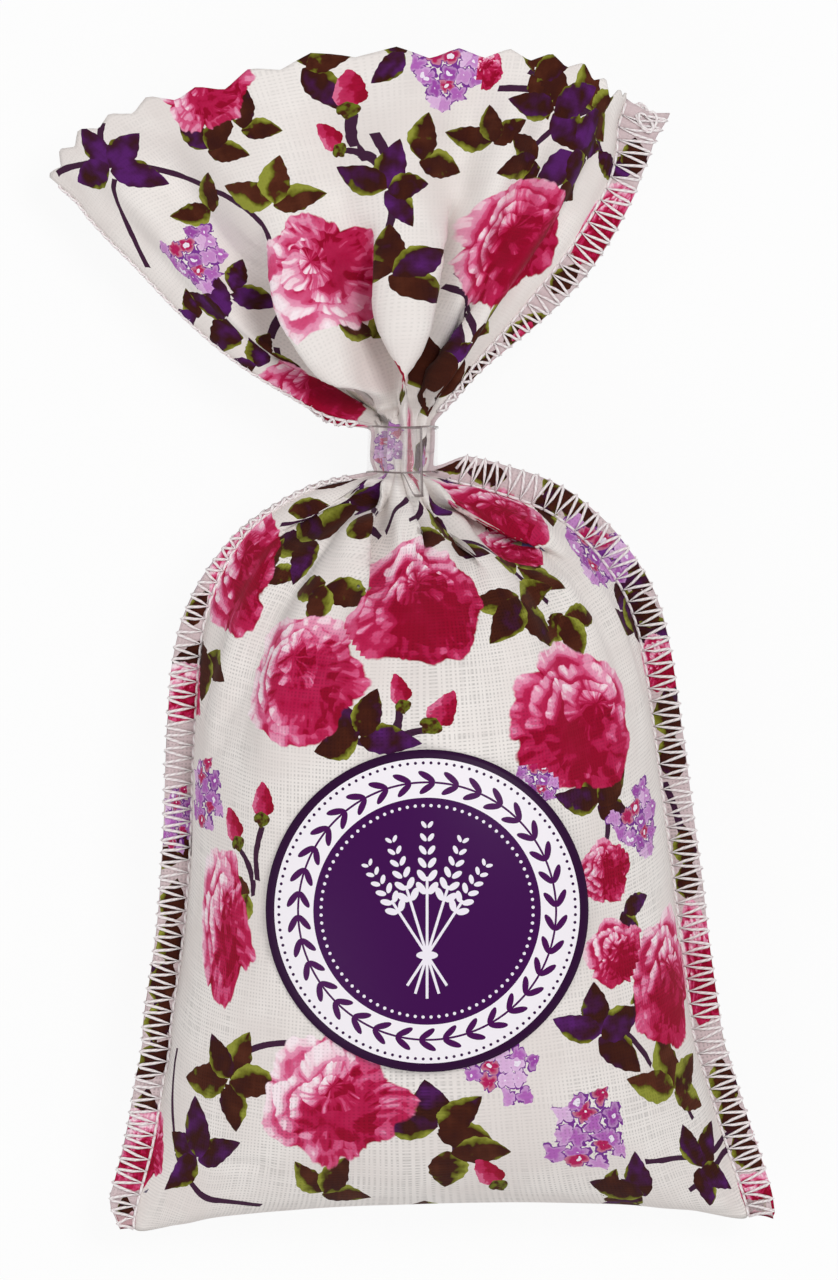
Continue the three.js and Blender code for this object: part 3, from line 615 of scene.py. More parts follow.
printPlan = {
    # x, y, width, turn in degrees, tone from deep 0 to pale 1, and height by width where the side turns away
    "roses": [
        (-27, 69.5, 12, 10, 0.45), (-12.6, 46.2, 16, 95, 0.55), (11.6, 49.4, 20, 20, 0.12, 0.9),
        (-14, 31, 15, 40, 0.2), (8.4, 71.4, 5.5, 0, 0.3), (-21.8, 8.6, 12.5, 30, 0.22, 1.4),
        (-0.8, 4.8, 18, 0, 0.18), (-15.7, -4.8, 17.5, 30, 0.52), (19.6, -9.6, 19.5, -30, 0.2),
        (-24.6, -35.6, 9.4, 10, 0.4, 2.2), (-11.2, -57.8, 18, 15, 0.5), (22.8, -28.6, 8.5, 40, 0.2),
        (24.4, -38.8, 9, 10, 0.15), (31.4, -42.6, 14, -10, 0.25, 1.3), (-35.4, -64, 11, 0, 0.4),
        (8.8, 16.2, 16, -25, 0.05), (-29.6, -6.6, 8, 0, 0.4), (43, -70, 7, 0, 0.2),
        (11.6, 11.6, 11, -27, 0.3, 0.45)],
    # x, y, width, turn, tone
    "lilacs": [
        (4, 71, 11, 0, 0.5), (-28.2, 48, 11, 30, 0.5), (22, 10.6, 12, -20, 0.5), (-27, -18.8, 11, 0, 0.6),
        (27.6, -22.4, 11, 40, 0.5), (10.8, -53.4, 11, 10, 0.4), (21.2, -60.8, 13.5, 0, 0.6),
        (15.5, -17, 8, 0, 0.5), (-4.4, 22.4, 6, 0, 0.4)],
    # x, y, length, turn (0 points up), tone
    "buds": [
        (-8.2, 68.2, 6.5, 0, 0.4), (-10.6, 62.4, 5.6, 40, 0.4), (-2.5, -6.8, 5.4, 15, 0.4),
        (2.5, -9.2, 6.6, -35, 0.4), (-23, -23.6, 6, 20, 0.4), (-19.6, -20.4, 6, -5, 0.4),
        (8.8, -67, 6.4, 30, 0.4), (-2.4, 32.4, 6.6, 0, 0.4), (17, 33, 5, -30, 0.5)],
    # x, y of the joint, turn of the spray, leaves, length of a leaf, tone: 0 green, 0.5 brown, 1 purple
    "sprays": [
        (-38.6, 59.2, 100, 4, 7, 0.95), (-26.4, 61.4, 60, 3, 5.4, 0.5), (-18, 54.6, 90, 3, 6.2, 0.05),
        (-26, 53.4, 140, 2, 5.6, 0.4), (-4.2, 56, 50, 4, 6.6, 0.8), (-14.6, 71.4, 20, 3, 6, 0.6),
        (-1.6, 73, 190, 2, 4.6, 0.95), (-3.6, 45.8, 75, 4, 6, 0.7), (-24.4, 40.6, 170, 3, 7, 0.9),
        (-19, 36, 50, 2, 5, 0.5), (16.6, 66, 60, 4, 7, 0.75), (20, 61.4, -40, 4, 7, 0.9),
        (14.6, 60, 200, 3, 6, 0.6), (9, 62.4, 100, 3, 5.4, 0.5), (8.4, 39.8, -40, 3, 5.6, 0.2),
        (3, 35.2, 80, 3, 5.4, 0.85), (-6, 37.6, 110, 2, 5, 0.2), (-13, 12.6, 150, 4, 7, 0.45),
        (-11.4, 6.8, 260, 3, 6.6, 0.15), (-9, 17.2, 40, 3, 6, 0.8), (-19, 8.4, 30, 2, 5, 0.2),
        (4, 12.4, 60, 3, 6, 0.4), (12.2, 9.2, 90, 4, 6.2, 0.15), (12.4, 5, -70, 4, 7, 0.35),
        (18, 3.2, -60, 3, 5.6, 0.1), (25, 7, -40, 2, 5, 0.9), (4.2, 19.2, 20, 3, 6, 0.85),
        (15.4, 18.4, -20, 3, 5.6, 0.3), (-7.4, -11.8, 100, 4, 6.4, 0.7), (-26.4, -1.4, 260, 3, 6, 0.5),
        (22.4, -20.4, 80, 4, 6.4, 0.55), (27, 0.6, 80, 3, 5.4, 0.7), (22.6, -49.4, 70, 4, 7, 0.85),
        (27.4, -47.6, 40, 2, 6, 0.7), (32, -56.6, 80, 4, 7, 0.1), (35.4, -66.6, 20, 4, 6.6, 0.85),
        (28, -70, 160, 3, 6, 0.7), (23, -70, 20, 2, 5.6, 0.3), (-23.6, -55, 60, 5, 7.2, 0.4),
        (2.6, -60.4, 80, 4, 6.8, 0.5), (4.6, -63.6, -50, 2, 6.4, 0.35), (-28, -65, 120, 4, 7.2, 0.8),
        (-12.4, -69.4, 60, 3, 6, 0.25), (6.4, -70.6, 60, 2, 5, 0.3), (-36, -55, 90, 2, 6, 0.8),
        (-30, -28, 120, 2, 5, 0.4), (-21, -31.6, 200, 2, 4.8, 0.2), (25.6, -33.6, -20, 2, 5, 0.7),
        (14.6, 70.8, 10, 3, 6, 0.3), (21.6, 66.4, 30, 3, 6.4, 0.15), (18, 57, -30, 3, 6, 0.75),
        (24.6, 58, 100, 2, 5, 0.8), (12.4, 39, -30, 2, 5, 0.2), (5.8, 32, 60, 2, 5, 0.6),
        (-28.2, 40.6, 150, 2, 5, 0.95), (-20.4, 34, 130, 2, 5, 0.9), (-23.8, 44.4, 20, 2, 5.4, 0.95),
        (0.4, 60, 30, 2, 5.6, 0.4), (-22, 63.8, 40, 2, 5, 0.4), (-5.4, 33.6, 120, 2, 4.6, 0.5),
        (0.1, 14.2, -10, 1, 5, 0.5), (3.4, 15.6, 100, 1, 4.5, 0.95), (-7.6, 12.8, 90, 1, 5, 0.2),
        (-13.2, 18.8, 17, 1, 5.2, 0.6), (-16.4, 16.4, 15, 1, 5.8, 0.35)],
    # from x, y to x, y, and how far the stem bows to its left
    "stems": [
        (-45.4, 58.6, -26, 56.6, 1.6), (-38.6, 58, -34, 47, -1.2), (-26, 56.6, -18.4, 47.6, 1.6),
        (-38.6, 59, -41, 66, 0.6), (-5.6, 63.4, -4.2, 50, 0.8), (-9.6, 61.4, -4.4, 57.6, 0.8),
        (-8.2, 65.6, -6, 60, -0.6), (9.6, 69, 23, 61, 1.2), (12, 59, 23.4, 67, 1.6), (3, 44.4, 7, 38, 1),
        (-18, 36.6, -8, 29, -1), (-17.6, 14.4, -8.4, 17.4, 0.8), (3.6, 14, 16, 4.4, 1.4),
        (-2.5, -8.8, -4.6, -13, 0.6), (1.6, -11.2, -4.4, -13, -0.6), (-4.6, -13, -10.4, -12.4, -0.5),
        (-22.4, -26, -20.6, -32, 0.8), (-19.6, -22.8, -20, -29.6, -0.6), (22, -16, 23.4, -26, 0.8),
        (20.6, -46, 29, -53, 1.2), (-30.2, -51, -30.6, -64.4, -1.2), (-30.6, -64.4, -19.6, -71, -1.2),
        (-23.4, -53, -14, -50, 1), (2.6, -56, 4.6, -66, 0.8), (28.6, -65.4, 43, -60.4, -1.4),
        (34, -69.4, 40, -64, 0.8), (31, -50, 34.4, -60, -0.8), (30.6, 2.6, 31.4, -12, 0.8),
        (31, -18, 33.4, -30, 0.6), (-33.6, -40, -34, -52, 0.8), (-18.6, 47.6, -18.4, 38, -0.6),
        (14, 71, 20.6, 62, 1.2), (4.4, 46, 5.6, 36, 0.6), (-5.7, 17.6, -4.6, 12.8, 0.8),
        (-1.2, 17.6, -4, 13.4, -1.2), (0.2, 17, -1.4, 15, 0.6)],
    # straight on the strip: distance across from its middle and along from its fold, length, tone, and how
    # many times wider it is where the gather narrows it
    # the dark leaves along the right allowance are print laid there also as painted shade: the dark that
    # shows between the overlock loops
    "edgeLeaves": [
        (41.4, 8.5, 6, 0.6), (41.2, 13, 6, 0.7), (41.4, 17.5, 6, 0.5), (41.2, 42.5, 5, 0.6),
        (41.4, 46.5, 5, 0.5), (41.2, 57.5, 6, 0.7), (41.4, 62.5, 6, 0.55), (41.2, 75, 5, 0.6),
        (41.4, 81, 6, 0.5), (41.2, 88, 5, 0.7), (41.2, 122, 5, 0.7), (41.4, 128, 5, 0.4),
        (41.2, 136.5, 5, 0.6), (41.4, 153.5, 5, 0.7), (-41.2, 27, 6, 0.5), (-41.4, 32, 6, 0.6),
        (-41.2, 37, 6, 0.5), (-41.4, 42, 5.5, 0.6), (-41.2, 16, 5, 0.7), (-41.4, 78, 5, 0.6),
        (-41, 2, 5, 0.6), (25, 108.4, 5, 0.6, 4), (33, 110.4, 4, 0.5, 3), (24, 117, 8, 0.5, 3.4),
        (33, 119, 7, 0.3, 2.4), (14, 119.4, 7, 0.6, 2), (41.2, 99.5, 5, 0.7), (41.4, 103.6, 4, 0.6),
        (-41.2, 99, 4, 0.6)],
    # the same two distances, width, height, kind (0 rose, 1 lilac), tone; the band narrows what lies in it
    "flatFlowers": [
        (-20, 109, 56, 7.5, 1, 0.12), (9, 109, 7, 12, 0, 0.5), (33, 108, 9, 6, 1, 0.7),
        (41.6, 32, 6, 16, 0, 0.15), (41.4, 68.5, 5.5, 7, 0, 0.15), (41.4, 144.5, 6, 12, 0, 0.12),
        (-41.4, 52.5, 5.5, 10, 1, 0.6), (-41.2, 118.5, 6, 11, 0, 0.2)],
}


eye = {"higherFirst": 0.02, "widest": 1.5, "narrowest": 0.5, "given": 0.4, "leastReach": 4}
spray = {"spread": 66, "pairSpread": 95, "stray": 9, "edgeStray": 12, "sizes": (0.88, 1.12), "shade": 0.22,
         "reach": 5}
# how the motifs of a layer share out the cloth, and how the tone is kept in the fraction after the kind
claim = {"pastEnd": 40, "slimness": 1.7, "roseFirst": 0.4, "toneFrom": 0.05, "toneSpan": 0.9}


def flatPlace(x, y):
    # the point of the front layer that shows at x, y, in the flat strip
    away = (frontSheet[:, :, 0] - x) ** 2 + (frontSheet[:, :, 1] - y) ** 2
    away -= eye["higherFirst"] * frontSheet[:, :, 2]
    row, column = np.unravel_index(np.argmin(away), away.shape)
    return flatFront[row, column]


def seenSteps(place, reach):
    # how steps on the flat cloth round that place show to the eye: its turn, and some of its foreshortening
    near = np.hypot(flatFront[:, :, 0] - place[0], flatFront[:, :, 1] - place[1]) < reach
    steps = np.c_[flatFront[near] - place, np.ones(near.sum())]
    seen = np.linalg.lstsq(steps, frontSheet[near][:, :2], rcond=None)[0][:2].T
    turned, sizes, leaning = np.linalg.svd(seen)
    narrowed = sizes.clip(eye["narrowest"], 1) ** eye["given"]
    sizes = np.where(sizes > 1, sizes.clip(1, eye["widest"]), narrowed)
    return turned @ np.diag(sizes) @ leaning


def motifRow(place, seen, size, turn, kind, tone):
    c, s = math.cos(math.radians(turn)), math.sin(math.radians(turn))
    own = np.array([[c, s], [-s, c]]) @ seen / size
    return [*place, *own.ravel(), size, kind, tone]


def layMotifs():
    # rows of motifs in the flat strip: place, the frame that the shape is drawn in, size, kind, tone
    flowers, leaves, stems = [], ([], []), []
    for kind, name in enumerate(("roses", "lilacs", "buds")):
        for x, y, size, turn, tone, *tall in printPlan[name]:
            place = flatPlace(x, y)
            seen = np.diag([1, 1 / (tall or [1])[0]]) @ seenSteps(place, max(size / 2, eye["leastReach"]))
            flowers.append(motifRow(place, seen, size / 2, turn, kind, tone))
    for x, y, turn, count, length, tone in printPlan["sprays"]:
        joint = flatPlace(x, y)
        seen = seenSteps(joint, spray["reach"])
        for k in range(count):
            spread = spray["spread" if count > 2 else "pairSpread"]
            angle = turn + spread * (k - (count - 1) / 2) + draw.uniform(-spray["stray"], spray["stray"])
            size = length * draw.uniform(*spray["sizes"])
            out = 0.5 * size * np.array([math.cos(math.radians(angle)), math.sin(math.radians(angle))])
            shade = min(max(tone + draw.uniform(-spray["shade"], spray["shade"]), 0), 0.99)
            place = joint + np.linalg.solve(seen, out)
            leaves[k % 2].append(motifRow(place, seen, size / 2, angle, 0, shade))
    for k, (a, b, length, tone, *wide) in enumerate(printPlan["edgeLeaves"]):
        seen = np.diag([1 / (wide or [1])[0], 1])
        angle = 90 + draw.uniform(-spray["edgeStray"], spray["edgeStray"])
        leaves[k % 2].append(motifRow((a, b), seen, length / 2, angle, 0, tone))
    for a, b, width, height, kind, tone in printPlan["flatFlowers"]:
        flowers.append(motifRow((a, b), np.diag([height / width, 1]), height / 2, 0, kind, tone))
    for x1, y1, x2, y2, bow in printPlan["stems"]:
        start, end = flatPlace(x1, y1), flatPlace(x2, y2)
        half = np.linalg.norm(end - start) / 2
        c, s = (end - start) / (2 * half)
        stems.append([*((start + end) / 2), c / half, s / half, -s, c, half, 0, bow])
    return {"flower": np.array(flowers), "leaf": np.array(leaves[0]), "leafOver": np.array(leaves[1]),
            "stem": np.array(stems)}


def motifFrames(layer, motifs, centres, corners):
    # for every face the nearest motif of the layer, and the face's corners in that motif's own frame
    best = np.full(len(centres), 1e9)
    chosen = np.zeros(len(centres), int)
    for number, (a, b, m0, m1, m2, m3, size, kind, tone) in enumerate(motifs):
        da, db = centres[:, 0] - a, centres[:, 1] - b
        u, v = m0 * da + m1 * db, m2 * da + m3 * db
        if layer == "stem":
            away = np.abs(v - tone * (1 - u ** 2)) + claim["pastEnd"] * np.maximum(np.abs(u) - 1, 0)
        elif layer in ("leaf", "leafOver"):
            away = (np.hypot(u, claim["slimness"] * v) - 1) * size
        else:
            away = (np.hypot(u, v) - 1) * size + (0 if kind == 0 else claim["roseFirst"])
        nearer = away < best
        best[nearer] = away[nearer]
        chosen[nearer] = number
    a, b, m0, m1, m2, m3, _, kind, tone = motifs[chosen].T[:, :, None]
    da, db = corners[:, :, 0] - a, corners[:, :, 1] - b
    third = kind + claim["toneFrom"] + claim["toneSpan"] * tone if layer == "flower" else tone
    return np.stack(np.broadcast_arrays(m0 * da + m1 * db, m2 * da + m3 * db, third), -1)


motifs = layMotifs()
for name, rows in motifs.items():
    onBack = rows.copy()
    onBack[:, :6] *= -1               # the strip goes on over the fold, so the back's print is upside down
    motifs[name] = np.concatenate([rows, onBack])
print("print laid out,", sum(len(rows) for rows in motifs.values()), "motifs")


# Materials

mapScale = 100.0       # millimetres to one unit of a UV map
weave = {"pitch": 0.46, "slubLength": 9.0, "fine": 1.02}      # thread spacing and length of a slub in mm
roseRings = [
    # each ring of petals from the outside in: middle x, y, radius, lobes, ink at its foot, light on its rim
    (0.0, 0.0, 1.0, 5, 0.3, 0.42),
    (0.05, -0.02, 0.8, 4, 0.24, 0.5),
    (0.08, -0.1, 0.6, 3, 0.1, 0.55),
    (0.1, 0.2, 0.4, 3, 0.2, 0.5),
    (0.14, 0.22, 0.22, 2, 0.06, 0.5),
]


def strayed(tree, at, noise, much):
    # places that a noise has moved about
    lean = addNode(tree, "VectorMath", {0: noise, 1: (0.5, 0.5, 0.5)}, operation="SUBTRACT")
    return addNode(tree, "VectorMath", {0: lean, 1: (much, much, 0.0), 2: at}, operation="MULTIPLY_ADD")


def roseInk(tree, at, tone):
    # a full rose: rings of lobed petals round a heart that sits high, pale brushed rims and a deep cup
    seeded = addNode(tree, "Math", {0: tone, 1: 37.0}, operation="MULTIPLY")
    noise = addNode(tree, "TexNoise", {"Vector": at, "W": seeded, "Scale": 1.5, "Detail": 2.0},
                    out="Color", noise_dimensions="4D")
    warped = strayed(tree, at, noise, 0.6)
    spot = addNode(tree, "VectorMath", {0: warped, 1: (1.0, 1.0, 0.0)}, operation="MULTIPLY")
    dabs = addNode(tree, "TexNoise", {"Vector": at, "W": seeded, "Scale": 4.5, "Detail": 3.0},
                   noise_dimensions="4D")
    dab = addNode(tree, "Math", {0: dabs, 1: 0.5}, operation="SUBTRACT")
    shade, mask = None, None
    for number, (x, y, size, lobes, foot, light) in enumerate(roseRings):
        own = addNode(tree, "VectorMath", {0: spot, 1: (x, y, 0.0)}, operation="SUBTRACT")
        own = addNode(tree, "VectorMath", {0: own, 1: (1 / size, 1 / size, 0.0)}, operation="MULTIPLY")
        parts = addNode(tree, "SeparateXYZ", {0: own}).node.outputs
        reach = addNode(tree, "VectorMath", {0: own}, out="Value", operation="LENGTH")
        angle = addNode(tree, "Math", {0: parts[1], 1: parts[0]}, operation="ARCTAN2")
        # brush strokes run out from the heart
        fan = addNode(tree, "VectorMath", {0: own}, operation="NORMALIZE")
        inward = addNode(tree, "Math", {0: reach, 1: 0.25, 2: seeded}, operation="MULTIPLY_ADD")
        inward = addNode(tree, "CombineXYZ", {2: inward})
        fan = addNode(tree, "VectorMath", {0: fan, 1: inward}, operation="ADD")
        streak = addNode(tree, "TexNoise", {"Vector": fan, "Scale": 2.4 + 3.2 * size, "Detail": 2.0})
        stroke = addNode(tree, "Math", {0: streak, 1: 0.5}, operation="SUBTRACT")
        swing = addNode(tree, "Math", {0: seeded, 1: 2.3 * number}, operation="ADD")
        lobe = addNode(tree, "Math", {0: angle, 1: lobes / 2, 2: swing}, operation="MULTIPLY_ADD")
        lobe = addNode(tree, "Math", {0: lobe}, operation="SINE")
        lobe = addNode(tree, "Math", {0: lobe}, operation="ABSOLUTE")
        limit = addNode(tree, "Math", {0: lobe, 1: 0.17, 2: 0.83}, operation="MULTIPLY_ADD")
        limit = addNode(tree, "Math", {0: stroke, 1: 0.2, 2: limit}, operation="MULTIPLY_ADD")
        share = addNode(tree, "Math", {0: reach, 1: limit}, operation="DIVIDE")
        # light falls on the rims from the upper left, and the gaps between petals stay deep
        facing = addNode(tree, "VectorMath", {0: own, 1: (-0.4, 0.58, 0.0)}, out="Value",
                         operation="DOT_PRODUCT")
        facing = addNode(tree, "MapRange", {0: facing, 1: -0.45, 2: 0.5, 3: -0.15, 4: 1.0})
        glow = addNode(tree, "Math", {0: stroke, 1: 2.6, 2: facing}, operation="MULTIPLY_ADD")
        cleft = addNode(tree, "MapRange", {0: lobe, 1: 0.04, 2: 0.34, 3: -0.8, 4: 0.0})
        glow = addNode(tree, "Math", {0: glow, 1: cleft}, operation="ADD")
        low, high = 1 - 0.26 / size, 1 - 0.06 / size
        rim = addNode(tree, "MapRange", {0: share, 1: low, 2: high, 3: 0.0, 4: light},
                      interpolation_type="SMOOTHSTEP")
        petal = addNode(tree, "Math", {0: rim, 1: glow, 2: foot}, operation="MULTIPLY_ADD")
        inside = addNode(tree, "MapRange", {0: share, 1: 0.985, 2: 1.015, 3: 1.0, 4: 0.0})
        if shade is None:
            shade, mask = petal, inside
        else:
            shade = addNode(tree, "Mix", {0: inside, 2: shade, 3: petal})
    paler = addNode(tree, "Math", {0: tone, 1: 0.44, 2: -0.14}, operation="MULTIPLY_ADD")
    shade = addNode(tree, "Math", {0: shade, 1: paler}, operation="ADD")
    shade = addNode(tree, "Math", {0: dab, 1: 0.55, 2: shade}, operation="MULTIPLY_ADD")
    ink = addNode(tree, "ValToRGB", {0: shade}, stops=[
        (0.0, "#940429"), (0.11, "#9E0832"), (0.14, "#B11445"), (0.3, "#BB2352"), (0.33, "#CE4471"),
        (0.44, "#D75B87"), (0.47, "#E286A8"), (0.62, "#EA9DBA"), (0.66, "#F3C8D6"), (0.9, "#FBEAF0")])
    return ink, mask


def lilacInk(tree, at, tone):
    # a loose head of four-petalled florets: lilac and pale petals over a purple shade, a few crimson ones
    place = addNode(tree, "VectorMath", {0: at, 1: (1.0, 1.0, 0.0)}, operation="MULTIPLY")
    seeded = addNode(tree, "Math", {0: tone, 1: 23.0}, operation="MULTIPLY")
    moved = addNode(tree, "VectorMath", {0: place, 1: seeded}, operation="ADD")
    noise = addNode(tree, "TexNoise", {"Vector": moved, "Scale": 4.0, "Detail": 2.0}, out="Color",
                    noise_dimensions="2D")
    ragged = strayed(tree, moved, noise, 0.2)
    cells = addNode(tree, "TexVoronoi", {"Vector": ragged, "Scale": 3.0, "Randomness": 0.7},
                    voronoi_dimensions="2D").node.outputs
    pick = addNode(tree, "SeparateColor", {0: cells["Color"]}).node.outputs
    local = addNode(tree, "VectorMath", {0: ragged, 1: cells["Position"]}, operation="SUBTRACT")
    parts = addNode(tree, "SeparateXYZ", {0: local}).node.outputs
    angle = addNode(tree, "Math", {0: parts[1], 1: parts[0]}, operation="ARCTAN2")
    swing = addNode(tree, "Math", {0: pick[0], 1: 2 * math.pi}, operation="MULTIPLY")
    petal = addNode(tree, "Math", {0: angle, 1: 2.0, 2: swing}, operation="MULTIPLY_ADD")
    petal = addNode(tree, "Math", {0: petal}, operation="SINE")
    petal = addNode(tree, "Math", {0: petal}, operation="ABSOLUTE")
    limit = addNode(tree, "Math", {0: petal, 1: 0.3, 2: 0.36}, operation="MULTIPLY_ADD")
    share = addNode(tree, "Math", {0: cells["Distance"], 1: limit}, operation="DIVIDE")
    floret = addNode(tree, "Math", {0: share, 1: 1.0}, operation="LESS_THAN")
    own = addNode(tree, "ValToRGB", {0: pick[1]}, stops=[
        (0.0, "#B164B6"), (0.28, "#C78BC9"), (0.52, "#9C4AA4"), (0.68, "#DBB2DB"), (0.82, "#B4205A")])
    own.node.color_ramp.interpolation = "CONSTANT"
    tip = addNode(tree, "MapRange", {0: share, 1: 0.55, 2: 0.85, 3: 0.0, 4: 0.25})
    own = addNode(tree, "Mix", {0: tip, 6: own, 7: linear("#F0DFF2")}, out=2, data_type="RGBA")
    ink = addNode(tree, "Mix", {0: floret, 6: linear("#7A3791"), 7: own}, out=2, data_type="RGBA")
    light = addNode(tree, "Math", {0: pick[2], 1: 0.26, 2: -0.06}, operation="MULTIPLY_ADD")
    light = addNode(tree, "Math", {0: cells["Distance"], 1: light}, operation="LESS_THAN")
    ink = addNode(tree, "Mix", {0: light, 6: ink, 7: linear("#F0E6F3")}, out=2, data_type="RGBA")
    # whole florets belong to the head or not, and a rim of shade goes round each
    middle = addNode(tree, "VectorMath", {0: cells["Position"], 1: seeded}, operation="SUBTRACT")
    middle = addNode(tree, "VectorMath", {0: middle, 1: (1.0, 1.0, 0.0)}, operation="MULTIPLY")
    middle = addNode(tree, "VectorMath", {0: middle}, out="Value", operation="LENGTH")
    middle = addNode(tree, "Math", {0: pick[2], 1: 0.3, 2: middle}, operation="MULTIPLY_ADD")
    head = addNode(tree, "Math", {0: middle, 1: 0.95}, operation="LESS_THAN")
    shade = addNode(tree, "Math", {0: share, 1: 1.3}, operation="LESS_THAN")
    mask = addNode(tree, "Math", {0: shade, 1: head}, operation="MULTIPLY")
    return ink, mask


def budInk(tree, at, tone):
    # a closed rosebud with sepals round its foot
    noise = addNode(tree, "TexNoise", {"Vector": at, "W": tone, "Scale": 2.4}, out="Color",
                    noise_dimensions="4D")
    warped = strayed(tree, at, noise, 0.35)
    parts = addNode(tree, "SeparateXYZ", {0: warped}).node.outputs
    tall = addNode(tree, "Math", {0: parts[1], 1: 1.35, 2: -0.3}, operation="MULTIPLY_ADD")
    taper = addNode(tree, "Math", {0: tall, 1: -0.2, 2: 0.46}, operation="MULTIPLY_ADD")
    wide = addNode(tree, "Math", {0: parts[0], 1: taper}, operation="DIVIDE")
    body = addNode(tree, "CombineXYZ", {0: wide, 1: tall})
    reach = addNode(tree, "VectorMath", {0: body}, out="Value", operation="LENGTH")
    flower = addNode(tree, "Math", {0: reach, 1: 1.0}, operation="LESS_THAN")
    side = addNode(tree, "Math", {0: parts[0], 1: -0.6, 2: 0.3}, operation="MULTIPLY_ADD")
    streak = addNode(tree, "TexNoise", {"Vector": at, "W": tone, "Scale": 4.0}, noise_dimensions="4D")
    side = addNode(tree, "Math", {0: streak, 1: 0.7, 2: side}, operation="MULTIPLY_ADD")
    ink = addNode(tree, "ValToRGB", {0: side}, stops=[
        (0.4, "#930728"), (0.58, "#A40C36"), (0.62, "#B72250"), (0.82, "#C23460"), (0.86, "#D86A90")])
    foot = addNode(tree, "Math", {0: parts[1], 1: 0.62}, operation="ADD")
    foot = addNode(tree, "Math", {0: foot, 1: 0.34}, operation="DIVIDE")
    foot = addNode(tree, "Math", {0: foot, 1: foot}, operation="MULTIPLY")
    broad = addNode(tree, "Math", {0: foot, 1: -0.4, 2: 0.4}, operation="MULTIPLY_ADD")
    spread = addNode(tree, "Math", {0: parts[0]}, operation="ABSOLUTE")
    sepal = addNode(tree, "Math", {0: spread, 1: broad}, operation="LESS_THAN")
    green = addNode(tree, "ValToRGB", {0: streak}, stops=[(0.45, "#45200F"), (0.6, "#69701E")])
    ink = addNode(tree, "Mix", {0: sepal, 6: ink, 7: green}, out=2, data_type="RGBA")
    mask = addNode(tree, "Math", {0: flower, 1: sepal}, operation="MAXIMUM")
    return ink, mask


def leafInk(tree, at):
    # a broad toothed leaf: brown and purple patches, and green along its edges
    along, side, tone = addNode(tree, "SeparateXYZ", {0: at}).node.outputs
    seeded = addNode(tree, "Math", {0: tone, 1: 61.0}, operation="MULTIPLY")
    noises = []
    for scale, shift in ((1.7, 0.0), (1.2, 5.3)):
        moment = addNode(tree, "Math", {0: seeded, 1: shift}, operation="ADD")
        noise = addNode(tree, "TexNoise", {"Vector": at, "W": moment, "Scale": scale, "Detail": 2.0},
                        noise_dimensions="4D")
        noises.append(noise)
    square = addNode(tree, "Math", {0: along, 1: along}, operation="MULTIPLY")
    swell = addNode(tree, "Math", {0: 1.0, 1: square}, operation="SUBTRACT")
    swell = addNode(tree, "Math", {0: swell, 1: 0.0}, operation="MAXIMUM")
    swell = addNode(tree, "Math", {0: swell, 1: 0.85}, operation="POWER")
    taper = addNode(tree, "Math", {0: along, 1: -0.2, 2: 0.56}, operation="MULTIPLY_ADD")
    width = addNode(tree, "Math", {0: swell, 1: taper}, operation="MULTIPLY")
    ripple = addNode(tree, "Math", {0: along, 1: 17.0}, operation="MULTIPLY")
    ripple = addNode(tree, "Math", {0: ripple}, operation="SINE")
    tooth = addNode(tree, "Math", {0: noises[0], 1: 0.4, 2: 0.8}, operation="MULTIPLY_ADD")
    tooth = addNode(tree, "Math", {0: ripple, 1: 0.035, 2: tooth}, operation="MULTIPLY_ADD")
    width = addNode(tree, "Math", {0: width, 1: tooth}, operation="MULTIPLY")
    bend = addNode(tree, "Math", {0: square, 1: 0.1, 2: side}, operation="MULTIPLY_ADD")
    off = addNode(tree, "Math", {0: bend}, operation="ABSOLUTE")
    mask = addNode(tree, "Math", {0: off, 1: width}, operation="LESS_THAN")
    edge = addNode(tree, "Math", {0: off, 1: width}, operation="DIVIDE")
    green = addNode(tree, "Math", {0: tone, 1: -0.36, 2: -0.12}, operation="MULTIPLY_ADD")
    green = addNode(tree, "Math", {0: bend, 1: 0.42, 2: green}, operation="MULTIPLY_ADD")
    green = addNode(tree, "Math", {0: edge, 1: 0.36, 2: green}, operation="MULTIPLY_ADD")
    green = addNode(tree, "Math", {0: noises[0], 1: 1.3, 2: green}, operation="MULTIPLY_ADD")
    dark = addNode(tree, "Math", {0: tone, 1: 0.5, 2: -0.24}, operation="MULTIPLY_ADD")
    dark = addNode(tree, "Math", {0: noises[1], 1: 1.2, 2: dark}, operation="MULTIPLY_ADD")
    ink = addNode(tree, "ValToRGB", {0: dark}, stops=[
        (0.25, "#562A1A"), (0.5, "#431C10"), (0.7, "#381510"), (0.82, "#41163A"), (1.0, "#561F66")])
    leafGreen = addNode(tree, "ValToRGB", {0: green}, stops=[
        (0.66, "#4E4410"), (0.78, "#6B6A1E"), (0.95, "#8F9238")])
    turned = addNode(tree, "MapRange", {0: green, 1: 0.64, 2: 0.7})
    ink = addNode(tree, "Mix", {0: turned, 6: ink, 7: leafGreen}, out=2, data_type="RGBA")
    return ink, mask


def stemInk(tree, at):
    along, side, bow = addNode(tree, "SeparateXYZ", {0: at}).node.outputs
    square = addNode(tree, "Math", {0: along, 1: along}, operation="MULTIPLY")
    arch = addNode(tree, "Math", {0: 1.0, 1: square}, operation="SUBTRACT")
    middle = addNode(tree, "Math", {0: arch, 1: bow}, operation="MULTIPLY")
    off = addNode(tree, "Math", {0: side, 1: middle}, operation="SUBTRACT")
    off = addNode(tree, "Math", {0: off}, operation="ABSOLUTE")
    noise = addNode(tree, "TexNoise", {"Vector": at, "Scale": 1.3})
    thick = addNode(tree, "Math", {0: noise, 1: 0.5, 2: 0.16}, operation="MULTIPLY_ADD")
    near = addNode(tree, "Math", {0: off, 1: thick}, operation="LESS_THAN")
    inside = addNode(tree, "Math", {0: arch, 1: 0.0}, operation="GREATER_THAN")
    return addNode(tree, "Math", {0: near, 1: inside}, operation="MULTIPLY")


